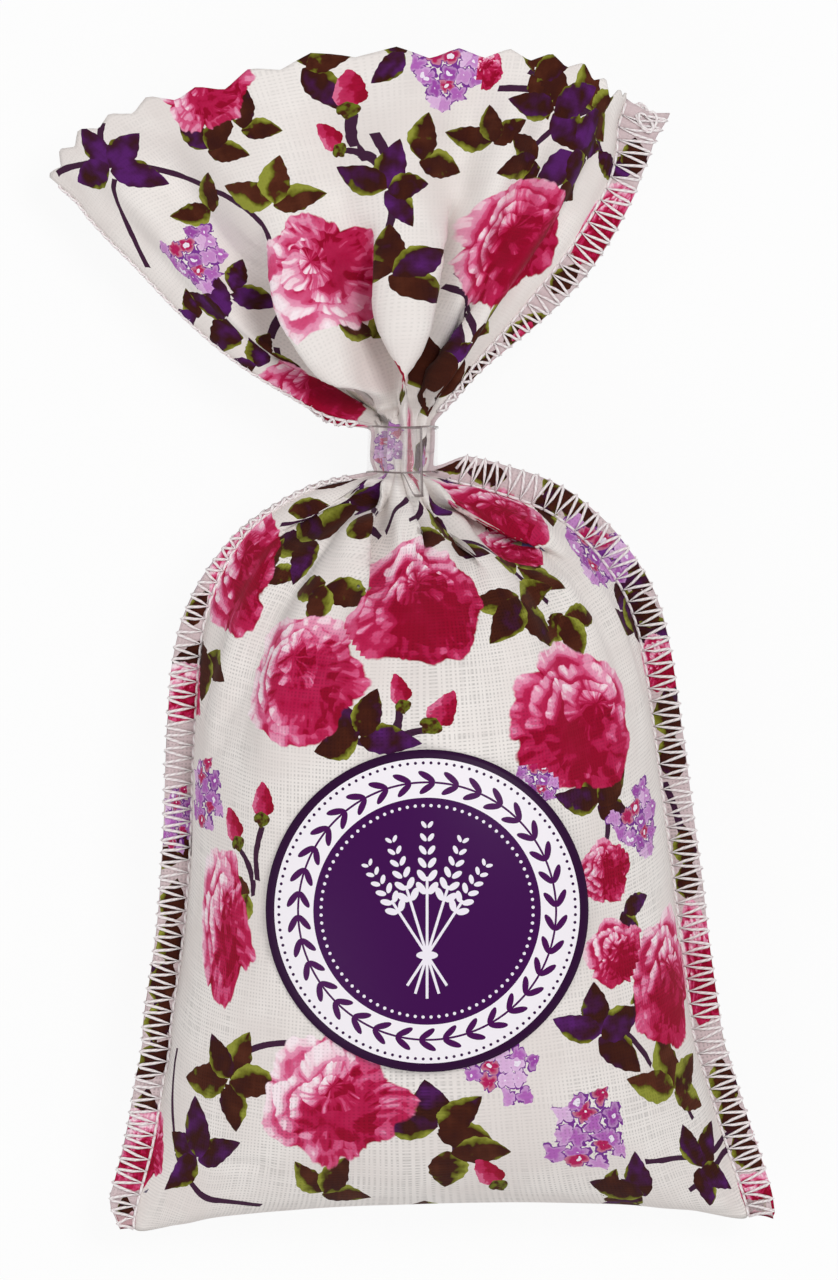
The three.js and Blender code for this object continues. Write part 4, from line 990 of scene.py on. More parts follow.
def printedCotton(name, strength):
    # plain-woven cotton, screen printed: flat inks that the thread grid breaks up with painted shade in its
    # gaps, no gloss, a little fuzz
    material, tree = newMaterial(name)
    stripMap = addNode(tree, "UVMap", uv_map="strip")
    mapParts = addNode(tree, "SeparateXYZ", {0: stripMap}).node.outputs
    threads = []
    for k in (0, 1):
        turns = mapScale * math.pi / weave["pitch"]
        wave = addNode(tree, "Math", {0: mapParts[k], 1: turns}, operation="MULTIPLY")
        wave = addNode(tree, "Math", {0: wave}, operation="SINE")
        crest = addNode(tree, "Math", {0: wave}, operation="ABSOLUTE")
        fine, coarse = mapScale / weave["pitch"] * weave["fine"], mapScale / weave["slubLength"]
        grain = (fine, coarse, 1.0) if k == 0 else (coarse, fine, 1.0)
        slubAt = addNode(tree, "VectorMath", {0: stripMap, 1: grain}, operation="MULTIPLY")
        slub = addNode(tree, "TexNoise", {"Vector": slubAt, "Scale": 1.0, "Detail": 1.0},
                       noise_dimensions="2D")
        threads.append(addNode(tree, "Math", {0: crest, 1: slub}, operation="MULTIPLY"))
    cover = addNode(tree, "Math", {0: threads[0], 1: threads[1]}, operation="MAXIMUM")
    both = addNode(tree, "Math", {0: threads[0], 1: threads[1]}, operation="ADD")
    patchy = addNode(tree, "TexNoise", {"Vector": stripMap, "Scale": 9.0, "Detail": 3.0},
                     noise_dimensions="2D")
    deepest = addNode(tree, "MapRange", {0: patchy, 1: 0.36, 2: 0.62, 3: 0.86, 4: 0.62})
    # painted shade in the gaps between the threads: on the bag it is partly the dark fill showing through,
    # and the frill has none behind it, so its gaps are painted less dark
    along = addNode(tree, "Math", {0: mapParts[1]}, operation="ABSOLUTE")
    unfilled = addNode(tree, "MapRange", {0: along, 1: 0.9, 2: 1.1, 3: 0.0, 4: 0.65})
    deepest = addNode(tree, "Mix", {0: unfilled, 2: deepest, 3: 1.0})
    gapShade = addNode(tree, "MapRange", {0: cover, 1: 0.1, 2: 0.42, 3: deepest, 4: 1.0})
    ground = addNode(tree, "ValToRGB", {0: patchy}, stops=[(0.35, "#E6DEDA"), (0.65, "#F0EAE6")])
    # painted shade: the allowance past the needle lines is painted darker, for the shade that the overlock
    # threads cast on the doubled cloth
    aside = addNode(tree, "Math", {0: mapParts[0]}, operation="ABSOLUTE")
    sewn = addNode(tree, "Math", {0: aside, 1: cut["needle"] / mapScale}, operation="GREATER_THAN")
    ground = addNode(tree, "Mix", {0: sewn, 6: ground, 7: linear("#D3C0C2")}, out=2, data_type="RGBA")

    stemAt = addNode(tree, "Attribute", out="Vector", attribute_name="stemAt")
    flowerAt = addNode(tree, "Attribute", out="Vector", attribute_name="flowerAt")
    third = addNode(tree, "SeparateXYZ", {0: flowerAt}, out=2)
    kind = addNode(tree, "Math", {0: third}, operation="FLOOR")
    tone = addNode(tree, "Math", {0: third}, operation="FRACT")

    cloth = addNode(tree, "Mix", {0: stemInk(tree, stemAt), 6: ground, 7: linear("#40203A")}, out=2,
                    data_type="RGBA")
    for layer in ("leafAt", "leafOverAt"):
        ink, mask = leafInk(tree, addNode(tree, "Attribute", out="Vector", attribute_name=layer))
        cloth = addNode(tree, "Mix", {0: mask, 6: cloth, 7: ink}, out=2, data_type="RGBA")
    for number, flowerInk in enumerate((roseInk, lilacInk, budInk)):
        ink, mask = flowerInk(tree, flowerAt, tone)
        same = addNode(tree, "Math", {0: kind, 1: float(number), 2: 0.5}, operation="COMPARE")
        mask = addNode(tree, "Math", {0: mask, 1: same}, operation="MULTIPLY")
        cloth = addNode(tree, "Mix", {0: mask, 6: cloth, 7: ink}, out=2, data_type="RGBA")
    if strength < 1:
        cloth = addNode(tree, "Mix", {0: strength, 6: ground, 7: cloth}, out=2, data_type="RGBA")
    # the painted shade of the weave's gaps darkens the cloth and its print
    cloth = addNode(tree, "Mix", {0: 1.0, 6: cloth, 7: gapShade}, out=2, data_type="RGBA", blend_type="MULTIPLY")
    relief = addNode(tree, "Bump", {"Strength": 0.35, "Distance": 0.08 * mm, "Height": both})
    shader = addNode(tree, "BsdfPrincipled", {
        "Base Color": cloth, "Normal": relief, "Roughness": 0.92, "Specular IOR Level": 0.07,
        "Sheen Weight": 0.04, "Sheen Roughness": 0.6})
    addNode(tree, "OutputMaterial", {"Surface": shader})
    return material


cottonFace = printedCotton("wovenCottonPrinted", 1.0)
cottonWrongSide = printedCotton("wovenCottonWrongSide", 0.35)


spun = {"turn": 0.9, "plies": 2}      # length of one turn of the twist in mm


def spunThread(name, code, tint):
    # spun polyester sewing thread: two plies twisted, matt with a soft sheen
    material, tree = newMaterial(name)
    run = addNode(tree, "UVMap", uv_map="run")
    parts = addNode(tree, "SeparateXYZ", {0: run}).node.outputs
    twist = addNode(tree, "Math", {0: parts[0], 1: 2 * math.pi / spun["turn"]}, operation="MULTIPLY")
    around = 2 * math.pi * spun["plies"]
    twist = addNode(tree, "Math", {0: parts[1], 1: around, 2: twist}, operation="MULTIPLY_ADD")
    ply = addNode(tree, "Math", {0: twist}, operation="SINE")
    ply = addNode(tree, "Math", {0: ply, 1: 0.5, 2: 0.5}, operation="MULTIPLY_ADD")
    # painted shade: the grooves between the plies are painted darker, in the pinker tint
    shade = addNode(tree, "ValToRGB", {0: ply}, stops=[(0.0, tint), (0.6, code)])
    relief = addNode(tree, "Bump", {"Strength": 0.5, "Distance": 0.05 * mm, "Height": ply})
    shader = addNode(tree, "BsdfPrincipled", {
        "Base Color": shade, "Normal": relief, "Roughness": 0.6, "Specular IOR Level": 0.35,
        "Sheen Weight": 0.2})
    addNode(tree, "OutputMaterial", {"Surface": shader})
    return material


# the second colour is the painted shade in the grooves of the twist
overlockThread = spunThread("spunPolyesterThread", "#F6F1F0", "#E3D3D6")


# Cloth pieces: an outside and an inside face joined round the raw edges

def clothPiece(name, sheets):
    points, faces, flats, sides = [], [], [], []
    start = 0
    for grid, flat in sheets:
        rows, cols = grid.shape[:2]
        inside = grid - gridNormals(grid) * cut["thickness"]
        inside[:, :, 2] = inside[:, :, 2].clip(leastHeight["inside"])
        points += [grid.reshape(-1, 3), inside.reshape(-1, 3)]
        flats += [flat.reshape(-1, 2)] * 2
        slab = slabFaces(rows, cols, start)
        faces += slab
        sides += [np.full(len(part), wrongSide) for part, wrongSide in zip(slab, (0, 1, 0))]
        start += 2 * rows * cols
    points, faces, flats = np.concatenate(points), np.concatenate(faces), np.concatenate(flats)
    piece = meshPiece(name, points, faces, [cottonFace, cottonWrongSide])
    piece.data.polygons.foreach_set("material_index", np.concatenate(sides).astype(np.int32))
    corners = flats[faces]
    centres = corners.mean(1)
    spreadMap(piece, "strip", flats / mapScale)
    for layer in motifs:
        values = motifFrames(layer, motifs[layer], centres, corners)
        held = piece.data.attributes.new(layer + "At", "FLOAT_VECTOR", "CORNER")
        held.data.foreach_set("vector", values.astype(np.float32).ravel())
    return piece


splitRow = int(np.argmin(np.abs(flatGrid[:, 0, 1] - split)))
lowRows = np.arange(len(flatGrid)) <= splitRow
highRows = np.arange(len(flatGrid)) >= splitRow
bagGrid = np.concatenate([backSheet[lowRows][:0:-1], frontSheet[lowRows]])
bagFlat = np.concatenate([flatBack[lowRows][:0:-1], flatFront[lowRows]])
bagCloth = clothPiece("bagCloth", [(bagGrid, bagFlat)])
frillBack = backSheet[highRows][::-1]
frillCloth = clothPiece("frillCloth", [(frontSheet[highRows], flatFront[highRows]),
                                       (frillBack, flatBack[highRows][::-1])])
print("cloth cut,", len(bagCloth.data.polygons) + len(frillCloth.data.polygons), "faces")


def joined(piece, bodies, low, high):
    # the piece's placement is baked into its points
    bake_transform(piece)


swayBend = (("bag", "neck"), 16.5, 22.5)
nodBend = (("neck", "frill"), 27.5, 33.0)
joined(bagCloth, *swayBend)
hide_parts("bag_cloth", "neck_gather")
joined(frillCloth, *nodBend)
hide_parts("frill_cloth")


# Overlock stitches: a needle line, and two looper threads that cross to the raw edge on each face

stitch = {
    "pitch": 1.6, "radius": 0.19, "sides": 6, "lift": 0.2, "stray": 0.12,
    "needleAcross": 0.02,            # share of the way from the needle line to the raw edge
    "skew": (0.31, 0.17, 0.93),      # a direction that no thread runs along
    # along the cloth, where the threads of the bag end and those of the frill begin
    "bagEnd": 104.0, "frillStart": 113.5,
    # one needle stitch: steps along it in pitches, and its height in lifts
    "needle": [(-0.46, -0.6), (-0.36, 0.6), (0, 1.0), (0.36, 0.6), (0.46, -0.6)],
    # one looper stitch: place along in pitches, share and number of the draw it strays by, share of the way
    # across, how that strays, and height
    "loop": [(0.04, 0.0, 0, 0.04, 0.0, 1.2), (0.22, 0.3, 0, 0.5, 0.0, 0.9), (0.42, 1.0, 1, 0.95, 0.0, 1.0),
             (0.55, 1.0, 1, 1.04, 0.2, -0.3), (0.66, 1.0, 1, 0.95, 0.0, 1.0), (0.82, 0.3, 2, 0.5, 0.0, 0.9)],
}
tangle = {"size": 1.1, "points": 36, "start": 0.06, "onBack": -0.8, "drift": (0.6, 0.5),
          "turns": (17, 21, 11), "height": 0.5}


def threadTube(name, paths):
    # round threads along lists of points
    points, faces, run = [], [], []
    start = 0
    sides = stitch["sides"]
    turn = 2 * math.pi * np.arange(sides) / sides
    for path in paths:
        path = np.asarray(path)
        along = unit(np.gradient(path, axis=0))
        across = unit(np.cross(along, stitch["skew"]))
        third = np.cross(along, across)
        ring = across[:, None] * np.cos(turn)[None, :, None] + third[:, None] * np.sin(turn)[None, :, None]
        tube = path[:, None] + stitch["radius"] * ring
        count = len(path)
        points.append(tube.reshape(-1, 3))
        number = start + np.arange(count * sides).reshape(count, sides)
        faces += tubeFaces(number).tolist() + [number[0, ::-1].tolist(), number[-1].tolist()]
        spots = np.broadcast_arrays(lengthsAlong(path)[:, None], np.arange(sides)[None, :] / sides)
        run.append(np.stack(spots, -1).reshape(-1, 2))
        start += count * sides
    piece = meshPiece(name, np.concatenate(points), faces, [overlockThread])
    spreadMap(piece, "run", np.concatenate(run))
    return piece


def overlock(side, part, rows):
    # the three threads of one seam, laid on the allowance between its needle line and its edge
    column = slice(0, seamColumn + 1) if side == "left" else slice(-seamColumn - 1, None)
    strips = {}
    for face, sheet in (("front", frontSheet), ("back", backSheet)):
        grid = sheet[rows]
        normals = gridNormals(sheet)[rows] * (1 if face == "front" else -1)
        grid, normals = grid[:, column], normals[:, column]
        if side == "left":
            grid, normals = grid[:, ::-1], normals[:, ::-1]
        strips[face] = grid, normals
    needleLine = strips["front"][0][:, 0]
    length = lengthsAlong(needleLine)
    count = int(length[-1] / stitch["pitch"])

    def spot(face, along, across, lift):
        grid, normals = strips[face]
        row = np.interp(along, length, np.arange(len(length)))
        low = int(min(row, len(length) - 2))
        k = across * seamColumn
        column0 = int(min(max(k, 0), seamColumn - 1))
        f, g = row - low, k - column0
        weights = ((low, column0, (1 - f) * (1 - g)), (low + 1, column0, f * (1 - g)),
                   (low, column0 + 1, (1 - f) * g), (low + 1, column0 + 1, f * g))
        place = sum(grid[r, c] * w for r, c, w in weights)
        normal = sum(normals[r, c] * w for r, c, w in weights)
        return place + normal * lift

    lift = stitch["lift"]
    needle = []
    for n in range(count):
        s = (n + 0.5) * stitch["pitch"]
        needle.append([spot("front", s + f * stitch["pitch"], stitch["needleAcross"], h * lift)
                       for f, h in stitch["needle"]])
    threads = {"needle": needle}
    for face in ("front", "back"):
        path = []
        for n in range(count):
            s = n * stitch["pitch"]
            wander = draw.uniform(-stitch["stray"], stitch["stray"], 3)
            for step, share, which, across, astray, high in stitch["loop"]:
                along = s + (step + share * wander[which]) * stitch["pitch"]
                path.append(spot(face, along, across + astray * wander[2], lift * high))
        if part == "frill" and side == "right":
            # the chain of stitches ran on past the cloth and has tangled
            t = np.linspace(tangle["start"], 1, tangle["points"])
            (right, up), (x, y, z) = tangle["drift"], tangle["turns"]
            knot = [right * t + np.sin(x * t), up * t + np.cos(y * t) - 1, tangle["height"] * np.sin(z * t)]
            knot = np.stack(knot, 1)
            path += list(path[-1] + tangle["size"] * knot * (1 if face == "front" else tangle["onBack"]))
        threads[face + "_looper"] = [path]
    pieces = []
    for thread, paths in threads.items():
        words = [part if part == "frill" else "", side, *thread.split("_"), "thread"]
        words = [w for w in words if w]
        piece = threadTube(words[0] + "".join(w.capitalize() for w in words[1:]), paths)
        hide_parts("_".join(words))
        pieces.append(piece)
    return pieces


sewnAt = flatGrid[:, 0, 1]
seamParts = (("bag", sewnAt < stitch["bagEnd"], swayBend), ("frill", sewnAt > stitch["frillStart"], nodBend))
for side in ("left", "right"):
    for part, rows, bend in seamParts:
        for piece in overlock(side, part, rows):
            joined(piece, *bend)
print("seams overlocked")


# Round label: a coated paper sticker that the full cloth bows

label = {
    "radius": 20.0, "x": 1.0, "y": -33.5, "thickness": 0.2, "rings": 30, "sides": 120, "lift": 0.08,
    "highThreads": 97,     # percentile of the cloth's height that the paper lies on
    # rings of dots: radius, how many, size, ink
    "dots": [(13.1, 84, 0.2, "#EFE9F2"), (18.35, 120, 0.19, "#33063E")],
    "wreath": {"pairs": 34, "radius": 15.95, "lean": -33, "leafAt": (1.5, 0.72, 0.0),
               "leafSize": (0.86, 2.5, 0.0), "stalk": 0.13},
    # stems of the bunch: lean in degrees and length; they cross at the tie
    "stems": [(-33, 0.9), (-17, 1.0), (0, 1.08), (17, 1.0), (33, 0.9)],
    "tie": (0.0, -5.4, 0.0),
    "tieSize": (0.75, 1.9, 0.0),
    # heights above the tie: the middle and half length of the stem, and where the head begins
    "sprig": {"stemHalf": 0.17, "stemSpan": (2.0, 7.0), "headFrom": 7.0, "headHalf": 4.35,
              "taper": (9.0, 1.1, 0.5), "floretPitch": 1.45, "floretOut": 0.72, "floretLean": -48,
              "floretSize": (1.2, 2.5, 0.0)},
}


def labelPaper():
    # gloss-coated paper, offset printed: crisp inks under a thin even gloss
    material, tree = newMaterial("coatedPaperPrinted")
    face = addNode(tree, "UVMap", uv_map="face")
    at = addNode(tree, "VectorMath", {0: face, 1: (mapScale, mapScale, 0.0)}, operation="MULTIPLY")
    parts = addNode(tree, "SeparateXYZ", {0: at}).node.outputs
    radius = addNode(tree, "VectorMath", {0: at}, out="Value", operation="LENGTH")
    angle = addNode(tree, "Math", {0: parts[1], 1: parts[0]}, operation="ARCTAN2")
    share = addNode(tree, "Math", {0: radius, 1: label["radius"]}, operation="DIVIDE")
    paper = addNode(tree, "ValToRGB", {0: share}, stops=[
        (0.0, "#3C034A"), (0.7, "#F4EFF5"), (0.945, "#2A0230")])
    paper.node.color_ramp.interpolation = "CONSTANT"
    for ring, dots, size, code in label["dots"]:
        turn = addNode(tree, "Math", {0: angle, 1: dots / (2 * math.pi)}, operation="MULTIPLY")
        turn = addNode(tree, "Math", {0: turn}, operation="FRACT")
        turn = addNode(tree, "Math", {0: turn, 1: 0.5}, operation="SUBTRACT")
        step = 2 * math.pi * ring / dots
        aside = addNode(tree, "Math", {0: turn, 1: step}, operation="MULTIPLY")
        off = addNode(tree, "Math", {0: radius, 1: ring}, operation="SUBTRACT")
        spot = addNode(tree, "CombineXYZ", {0: aside, 1: off})
        reach = addNode(tree, "VectorMath", {0: spot}, out="Value", operation="LENGTH")
        dot = addNode(tree, "Math", {0: reach, 1: size}, operation="LESS_THAN")
        paper = addNode(tree, "Mix", {0: dot, 6: paper, 7: linear(code)}, out=2, data_type="RGBA")
    # a wreath of leaf pairs round the white ring
    wreathPlan = label["wreath"]
    pairs, middle, leafAt = wreathPlan["pairs"], wreathPlan["radius"], wreathPlan["leafAt"]
    turn = addNode(tree, "Math", {0: angle, 1: pairs / (2 * math.pi)}, operation="MULTIPLY")
    turn = addNode(tree, "Math", {0: turn}, operation="FRACT")
    step = 2 * math.pi * middle / pairs
    aside = addNode(tree, "Math", {0: turn, 1: step}, operation="MULTIPLY")
    off = addNode(tree, "Math", {0: radius, 1: middle}, operation="SUBTRACT")
    off = addNode(tree, "Math", {0: off}, operation="ABSOLUTE")
    leaf = addNode(tree, "CombineXYZ", {0: aside, 1: off})
    tilt = math.radians(wreathPlan["lean"])
    leaf = addNode(tree, "VectorRotate", {"Vector": leaf, "Center": leafAt, "Angle": tilt})
    leaf = addNode(tree, "VectorMath", {0: leaf, 1: leafAt}, operation="SUBTRACT")
    leaf = addNode(tree, "VectorMath", {0: leaf, 1: wreathPlan["leafSize"]}, operation="MULTIPLY")
    leaf = addNode(tree, "VectorMath", {0: leaf}, out="Value", operation="LENGTH")
    leaf = addNode(tree, "Math", {0: leaf, 1: 1.0}, operation="LESS_THAN")
    stalk = addNode(tree, "Math", {0: off, 1: wreathPlan["stalk"]}, operation="LESS_THAN")
    wreath = addNode(tree, "Math", {0: leaf, 1: stalk}, operation="MAXIMUM")
    paper = addNode(tree, "Mix", {0: wreath, 6: paper, 7: linear("#46084F")}, out=2, data_type="RGBA")
    # a tied bunch of lavender on the disc
    bunch = None
    sprigPlan = label["sprig"]
    pitch, out, half = sprigPlan["floretPitch"], sprigPlan["floretOut"], sprigPlan["headHalf"]
    stemMiddle, stemReach = sprigPlan["stemSpan"]
    headLength, footWidth, tipWidth = sprigPlan["taper"]
    floretTilt = math.radians(sprigPlan["floretLean"])
    for lean, length in label["stems"]:
        tilt = math.radians(lean)
        own = addNode(tree, "VectorRotate", {"Vector": at, "Center": label["tie"], "Angle": tilt})
        own = addNode(tree, "VectorMath", {0: own, 1: label["tie"]}, operation="SUBTRACT")
        parts = addNode(tree, "SeparateXYZ", {0: own}).node.outputs
        wide = addNode(tree, "Math", {0: parts[0]}, operation="ABSOLUTE")
        high = addNode(tree, "Math", {0: parts[1], 1: length}, operation="DIVIDE")
        stem = addNode(tree, "Math", {0: wide, 1: sprigPlan["stemHalf"]}, operation="LESS_THAN")
        span = addNode(tree, "Math", {0: high, 1: stemMiddle, 2: stemReach}, operation="COMPARE")
        stem = addNode(tree, "Math", {0: stem, 1: span}, operation="MULTIPLY")
        rise = addNode(tree, "Math", {0: high, 1: sprigPlan["headFrom"]}, operation="SUBTRACT")
        taper = addNode(tree, "MapRange", {0: rise, 1: 0.0, 2: headLength, 3: footWidth, 4: tipWidth})
        floret = addNode(tree, "Math", {0: rise, 1: pitch}, operation="DIVIDE")
        floret = addNode(tree, "Math", {0: floret}, operation="FRACT")
        floret = addNode(tree, "Math", {0: floret, 1: pitch, 2: -out}, operation="MULTIPLY_ADD")
        side = addNode(tree, "Math", {0: taper, 1: -out, 2: wide}, operation="MULTIPLY_ADD")
        bud = addNode(tree, "CombineXYZ", {0: side, 1: floret})
        bud = addNode(tree, "VectorRotate", {"Vector": bud, "Angle": floretTilt})
        bud = addNode(tree, "VectorMath", {0: bud, 1: sprigPlan["floretSize"]}, operation="MULTIPLY")
        bud = addNode(tree, "VectorMath", {0: bud}, out="Value", operation="LENGTH")
        bud = addNode(tree, "Math", {0: bud, 1: taper}, operation="LESS_THAN")
        span = addNode(tree, "Math", {0: rise, 1: half, 2: half}, operation="COMPARE")
        bud = addNode(tree, "Math", {0: bud, 1: span}, operation="MULTIPLY")
        sprig = addNode(tree, "Math", {0: stem, 1: bud}, operation="MAXIMUM")
        if bunch is not None:
            sprig = addNode(tree, "Math", {0: bunch, 1: sprig}, operation="MAXIMUM")
        bunch = sprig
    tie = addNode(tree, "VectorMath", {0: at, 1: label["tie"]}, operation="SUBTRACT")
    tie = addNode(tree, "VectorMath", {0: tie, 1: label["tieSize"]}, operation="MULTIPLY")
    tie = addNode(tree, "VectorMath", {0: tie}, out="Value", operation="LENGTH")
    tie = addNode(tree, "Math", {0: tie, 1: 1.0}, operation="LESS_THAN")
    bunch = addNode(tree, "Math", {0: bunch, 1: tie}, operation="MAXIMUM")
    paper = addNode(tree, "Mix", {0: bunch, 6: paper, 7: linear("#EFE9F2")}, out=2, data_type="RGBA")
    grain = addNode(tree, "TexNoise", {"Vector": at, "Scale": 0.6, "Detail": 4.0})
    rough = addNode(tree, "MapRange", {0: grain, 3: 0.34, 4: 0.46})
    relief = addNode(tree, "Bump", {"Strength": 0.08, "Distance": 0.05 * mm, "Height": grain})
    shader = addNode(tree, "BsdfPrincipled", {
        "Base Color": paper, "Normal": relief, "Roughness": rough, "IOR": 1.5, "Specular IOR Level": 0.1})
    addNode(tree, "OutputMaterial", {"Surface": shader})
    return material


def bowTerms(x, y):
    return np.stack([np.ones_like(x), x, y, x * x, x * y, y * y], 1)


def roundLabel():
    # the paper follows the broad bow of the cloth, and lies on its highest threads
    near = np.hypot(frontSheet[:, :, 0] - label["x"], frontSheet[:, :, 1] - label["y"]) < label["radius"]
    under = frontSheet[near]
    dx, dy = under[:, 0] - label["x"], under[:, 1] - label["y"]
    terms = bowTerms(dx, dy)
    fit = np.linalg.lstsq(terms, under[:, 2], rcond=None)[0]
    spare = np.percentile(under[:, 2] - terms @ fit, label["highThreads"])

    radii = np.linspace(0, 1, label["rings"] + 1)[1:] * label["radius"]
    turn = 2 * math.pi * np.arange(label["sides"]) / label["sides"]
    x = np.r_[0, (radii[:, None] * np.cos(turn)).ravel()]
    y = np.r_[0, (radii[:, None] * np.sin(turn)).ravel()]
    height = bowTerms(x, y) @ fit + spare + label["lift"] + label["thickness"]
    top = np.stack([x + label["x"], y + label["y"], height], 1)
    bottom = top - (0, 0, label["thickness"])
    count = len(top)
    sides = label["sides"]
    faces = []
    for k in range(sides):
        m = (k + 1) % sides
        faces += [[0, 1 + k, 1 + m], [count, count + 1 + m, count + 1 + k]]
        for r in range(label["rings"] - 1):
            a, b = 1 + r * sides, 1 + (r + 1) * sides
            upper = [a + k, b + k, b + m, a + m]
            faces += [upper, [count + n for n in upper[::-1]]]
        rim = 1 + (label["rings"] - 1) * sides
        faces.append([rim + k, count + rim + k, count + rim + m, rim + m])
    piece = meshPiece("roundLabel", np.concatenate([top, bottom]), faces, [labelPaper()])
    spreadMap(piece, "face", np.tile(np.stack([x, y], 1) / mapScale, (2, 1)))
    return piece


labelPiece = roundLabel()
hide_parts("round_label")
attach(labelPiece, "bag")
print("label stuck on")


# Neck band: clear film wound round the gather, its end lapped over

band = {
    "radius": 4.45, "lap": 5.0, "thickness": 0.12, "steps": 120, "rows": 8, "map": 0.06,
    "endTurn": 58,         # where round the neck the end lies, degrees
    "endRim": 0.3,
    "rim": 0.46,           # the cut edges lie this far from the middle, as a share of the width
    "stretchLines": (18.0, 160.0, 1.0),
    "tail": 3.0,           # a corner of the end hangs down by this much
    "tailSpan": (2.6, 1.0),     # between these distances from the end
    "tailOut": 0.5,
    "ripples": [(0.12, 5, 2), (0.1, 11, 0)],      # height, waves round the neck, and how far they lean
    "rippleLeast": 0.4,
    "edgeWave": (0.1, 3),
    "overLap": 0.3,        # the lap stands out by this much
    "lapStep": (-2.0, 1.5),     # and steps out between these distances past one whole turn
}
bandLength = 2 * math.pi * band["radius"] + band["lap"]


def clearFilm():
    # cast polypropylene film: clear, glossy, with faint stretch lines
    material, tree = newMaterial("castPolypropyleneFilm")
    wrap = addNode(tree, "UVMap", uv_map="wrap")
    lines = addNode(tree, "VectorMath", {0: wrap, 1: band["stretchLines"]}, operation="MULTIPLY")
    noise = addNode(tree, "TexNoise", {"Vector": lines, "Scale": 1.0, "Detail": 2.0})
    relief = addNode(tree, "Bump", {"Strength": 0.25, "Distance": 0.1 * mm, "Height": noise})
    rough = addNode(tree, "MapRange", {0: noise, 3: 0.04, 4: 0.16})
    # the cut edges catch the dark of the folds
    parts = addNode(tree, "SeparateXYZ", {0: wrap}).node.outputs
    rim = addNode(tree, "Math", {0: parts[1], 1: 0.5 * band["map"]}, operation="SUBTRACT")
    rim = addNode(tree, "Math", {0: rim}, operation="ABSOLUTE")
    rim = addNode(tree, "Math", {0: rim, 1: band["rim"] * band["map"]}, operation="GREATER_THAN")
    last = (bandLength - band["endRim"]) / mapScale
    end = addNode(tree, "Math", {0: parts[0], 1: last}, operation="GREATER_THAN")
    rim = addNode(tree, "Math", {0: rim, 1: end}, operation="MAXIMUM")
    tint = addNode(tree, "Mix", {0: rim, 6: linear("#EFE6E8"), 7: linear("#8A7D7C")}, out=2, data_type="RGBA")
    solid = addNode(tree, "MapRange", {0: rim, 3: 0.06, 4: 0.7})
    shader = addNode(tree, "BsdfPrincipled", {
        "Base Color": tint, "Normal": relief, "Roughness": rough, "IOR": 1.49, "Alpha": solid,
        "Coat Weight": 1.0, "Coat Roughness": 0.05})
    addNode(tree, "OutputMaterial", {"Surface": shader})
    return material


def neckBand():
    # one strip of film: it starts under the lap, goes once round and ends on the front
    length = bandLength
    girth = length - band["lap"]
    steps, high = band["steps"], band["rows"]
    edge, edgeWaves = band["edgeWave"]
    s = np.linspace(0, length, steps + 1)
    turn = math.radians(band["endTurn"]) - (s - length) / band["radius"]
    radius = band["radius"] + band["overLap"] * smoothStep(s - girth, *band["lapStep"])
    tail = band["tail"] * smoothStep(s, *(length - span for span in band["tailSpan"]))
    grid = np.zeros((high + 1, steps + 1, 3))
    for k in range(high + 1):
        share = k / high
        wave = sum(size * np.sin(waves * turn + lean * share) for size, waves, lean in band["ripples"])
        out = band["tailOut"] * tail / band["tail"] * (1 - share) ** 2
        r = radius + wave * (band["rippleLeast"] + abs(share - 0.5)) + out
        grid[k, :, 0] = neckSpot["x"] + r * np.cos(turn)
        grid[k, :, 2] = neckSpot["z"] + r * np.sin(turn)
        grid[k, :, 1] = neckSpot["low"] + (neckSpot["high"] - neckSpot["low"]) * share
        grid[k, :, 1] += edge * np.sin(edgeWaves * turn) - tail * (1 - share)
    rows, cols = grid.shape[:2]
    outward = grid - (neckSpot["x"], 0, neckSpot["z"])
    outward[:, :, 1] = 0
    inside = grid - unit(outward) * band["thickness"]
    points = np.concatenate([grid.reshape(-1, 3), inside.reshape(-1, 3)])
    piece = meshPiece("neckBand", points, np.concatenate(slabFaces(rows, cols)), [clearFilm()])
    spots = np.broadcast_arrays(s[None, :] / mapScale, np.arange(rows)[:, None] / high * band["map"])
    spreadMap(piece, "wrap", np.tile(np.stack(spots, -1).reshape(-1, 2), (2, 1)))
    return piece


bandPiece = neckBand()
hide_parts("neck_band")
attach(bandPiece, "neck")
print("band wound")


# Dried lavender: the loose flowers that fill the bag

fill = {"inset": 1.8, "lowest": 5.0, "highest": 90.0, "bump": 0.5, "coarse": 3, "shrink": 0.97, "buds": 420.0}


def driedLavender():
    # dried flower buds: dusty violet calyces with grey-green bits between
    material, tree = newMaterial("driedLavenderFlowers")
    place = addNode(tree, "TexCoord", out="Object")
    cells = addNode(tree, "TexVoronoi", {"Vector": place, "Scale": fill["buds"]}).node.outputs
    pick = addNode(tree, "SeparateColor", {0: cells["Color"]}).node.outputs
    shade = addNode(tree, "ValToRGB", {0: pick[0]}, stops=[
        (0.0, "#4A3F6B"), (0.4, "#6C6194"), (0.7, "#837B8C"), (0.9, "#8A8A66")])
    height = cells["Distance"]
    relief = addNode(tree, "Bump", {"Strength": 0.8, "Distance": 0.6 * mm, "Height": height})
    shader = addNode(tree, "BsdfPrincipled", {
        "Base Color": shade, "Normal": relief, "Roughness": 0.95, "Specular IOR Level": 0.15})
    addNode(tree, "OutputMaterial", {"Surface": shader})
    return material


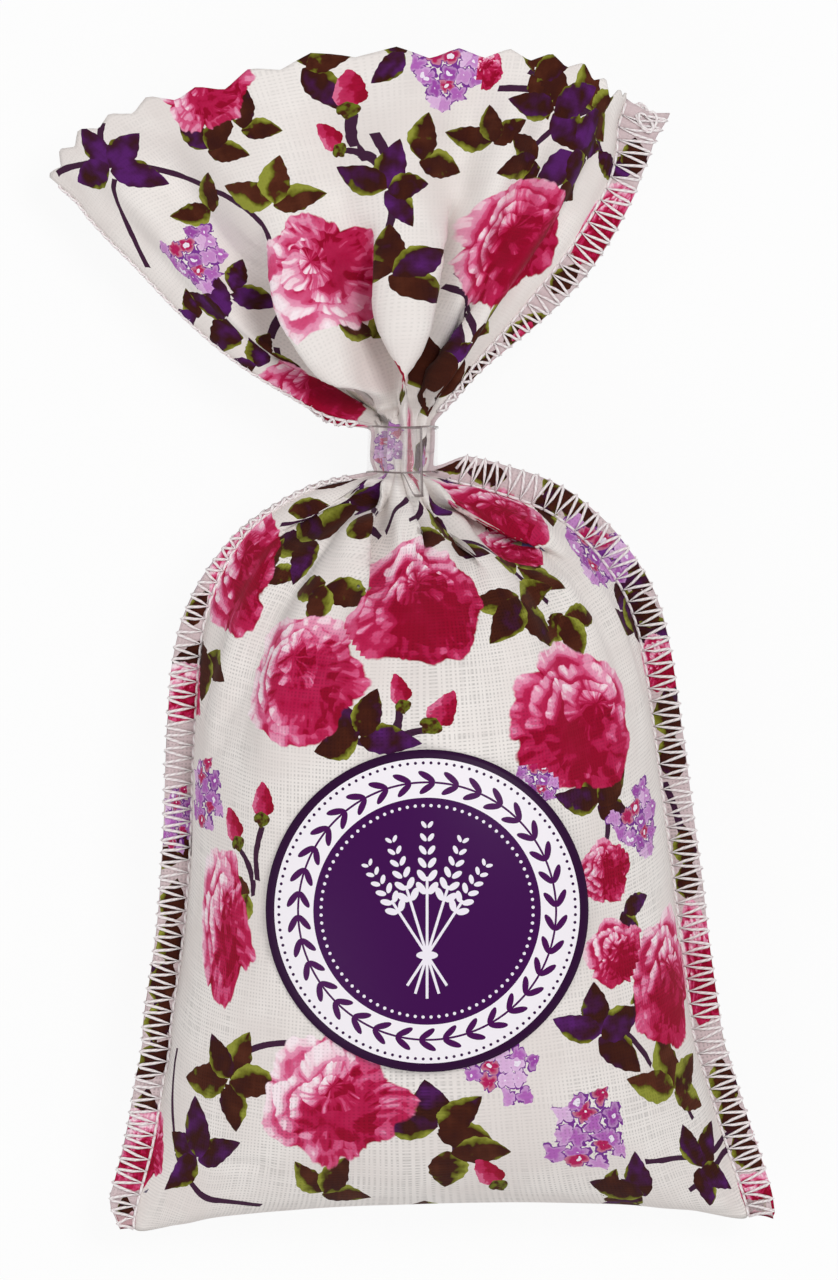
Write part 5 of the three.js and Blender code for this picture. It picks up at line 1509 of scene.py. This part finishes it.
def lavenderFill():
    along = flatGrid[:, 0, 1]
    rows = np.nonzero((along > fill["lowest"]) & (along < fill["highest"]))[0][::fill["coarse"]]
    inner = slice(seamColumn + 2, -seamColumn - 2)
    front = (frontSheet - gridNormals(frontSheet) * fill["inset"])[rows][:, inner][:, ::fill["coarse"]]
    back = (backSheet + gridNormals(backSheet) * fill["inset"])[rows][:, inner][:, ::fill["coarse"]]
    rings = np.concatenate([front, back[:, ::-1]], 1)
    middle = rings.mean(1, keepdims=True)
    rings = middle + (rings - middle) * fill["shrink"]
    rings += unit(rings - middle) * (draw.uniform(-1, 0, rings.shape[:2])[:, :, None] * fill["bump"])
    rings[:, :, 2] = rings[:, :, 2].clip(leastHeight["fill"])
    count, sides = rings.shape[:2]
    number = np.arange(count * sides).reshape(count, sides)
    faces = tubeFaces(number).tolist()
    ends = np.concatenate([rings[0].mean(0, keepdims=True), rings[-1].mean(0, keepdims=True)])
    low, high = count * sides, count * sides + 1
    for k in range(sides):
        m = (k + 1) % sides
        faces += [[low, number[0, m], number[0, k]], [high, number[-1, k], number[-1, m]]]
    points = np.concatenate([rings.reshape(-1, 3), ends])
    return meshPiece("lavenderFill", points, faces, [driedLavender()])


fillPiece = lavenderFill()
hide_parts("lavender_fill")
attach(fillPiece, "bag")
print("bag filled")


# Floor, light and camera

def seenByEye(tree):
    # 1 for what shows to the eye, straight or in a reflection or through film, 0 for what only gives light
    rays = addNode(tree, "LightPath").node.outputs
    seen = addNode(tree, "Math", {0: rays["Is Camera Ray"], 1: rays["Is Glossy Ray"]}, operation="MAXIMUM")
    return addNode(tree, "Math", {0: seen, 1: rays["Is Transmission Ray"]}, operation="MAXIMUM")


def whiteFloor():
    # matt white paper: white to the camera where nothing shades it, and it keeps the shadow
    material, tree = newMaterial("whitePaperFloor")
    seen = seenByEye(tree)
    matt = addNode(tree, "BsdfDiffuse", {"Color": linear("#E8E8E8")})
    glow = addNode(tree, "Emission", {"Color": (1, 1, 1, 1), "Strength": 1.0})
    part = addNode(tree, "Math", {0: seen, 1: 0.92}, operation="MULTIPLY")
    surface = addNode(tree, "MixShader", {0: part, 1: matt, 2: glow})
    addNode(tree, "OutputMaterial", {"Surface": surface})
    return material


studio = {
    "camera": {"lens": 250.0, "sensor": 36.0, "frameHeight": 161.0, "focusHeight": 13.0},
    "key": {"place": (0.3, 0.22, 0.75), "size": 0.3, "power": 2.7},
    "soft": {"place": (-0.5, -0.4, 0.6), "size": 0.5, "power": 1.7},
    "sky": 0.5,
    "floor": (3000, -0.05),      # half its side and its height, mm
}
floor = meshPiece("floor", squareAt(*studio["floor"]), [(0, 1, 2, 3)], [whiteFloor()], smooth=False)

for name in ("key", "soft"):
    light = bpy.data.lights.new(name, "AREA")
    light.energy = studio[name]["power"]
    light.size = studio[name]["size"]
    lamp = bpy.data.objects.new(name, light)
    lamp.location = studio[name]["place"]
    lamp.rotation_euler = (-lamp.location).to_track_quat("-Z", "Y").to_euler()
    bpy.context.scene.collection.objects.link(lamp)

world = bpy.data.worlds.new("studio")
bpy.context.scene.world = world
world.use_nodes = True
sky = world.node_tree
sky.nodes.clear()
seen = seenByEye(sky)
strength = addNode(sky, "MapRange", {0: seen, 3: studio["sky"], 4: 1.0})
backdrop = addNode(sky, "Background", {"Color": (1, 1, 1, 1), "Strength": strength})
addNode(sky, "OutputWorld", {"Surface": backdrop})

view = studio["camera"]
lens = bpy.data.cameras.new("camera")
lens.lens = view["lens"]
lens.sensor_width = view["sensor"]
camera = bpy.data.objects.new("camera", lens)
camera.location = (0, 0, (view["frameHeight"] * view["lens"] / view["sensor"] + view["focusHeight"]) * mm)
bpy.context.scene.collection.objects.link(camera)
bpy.context.scene.camera = camera
bpy.context.scene.view_settings.view_transform = "Standard"
print("studio set")
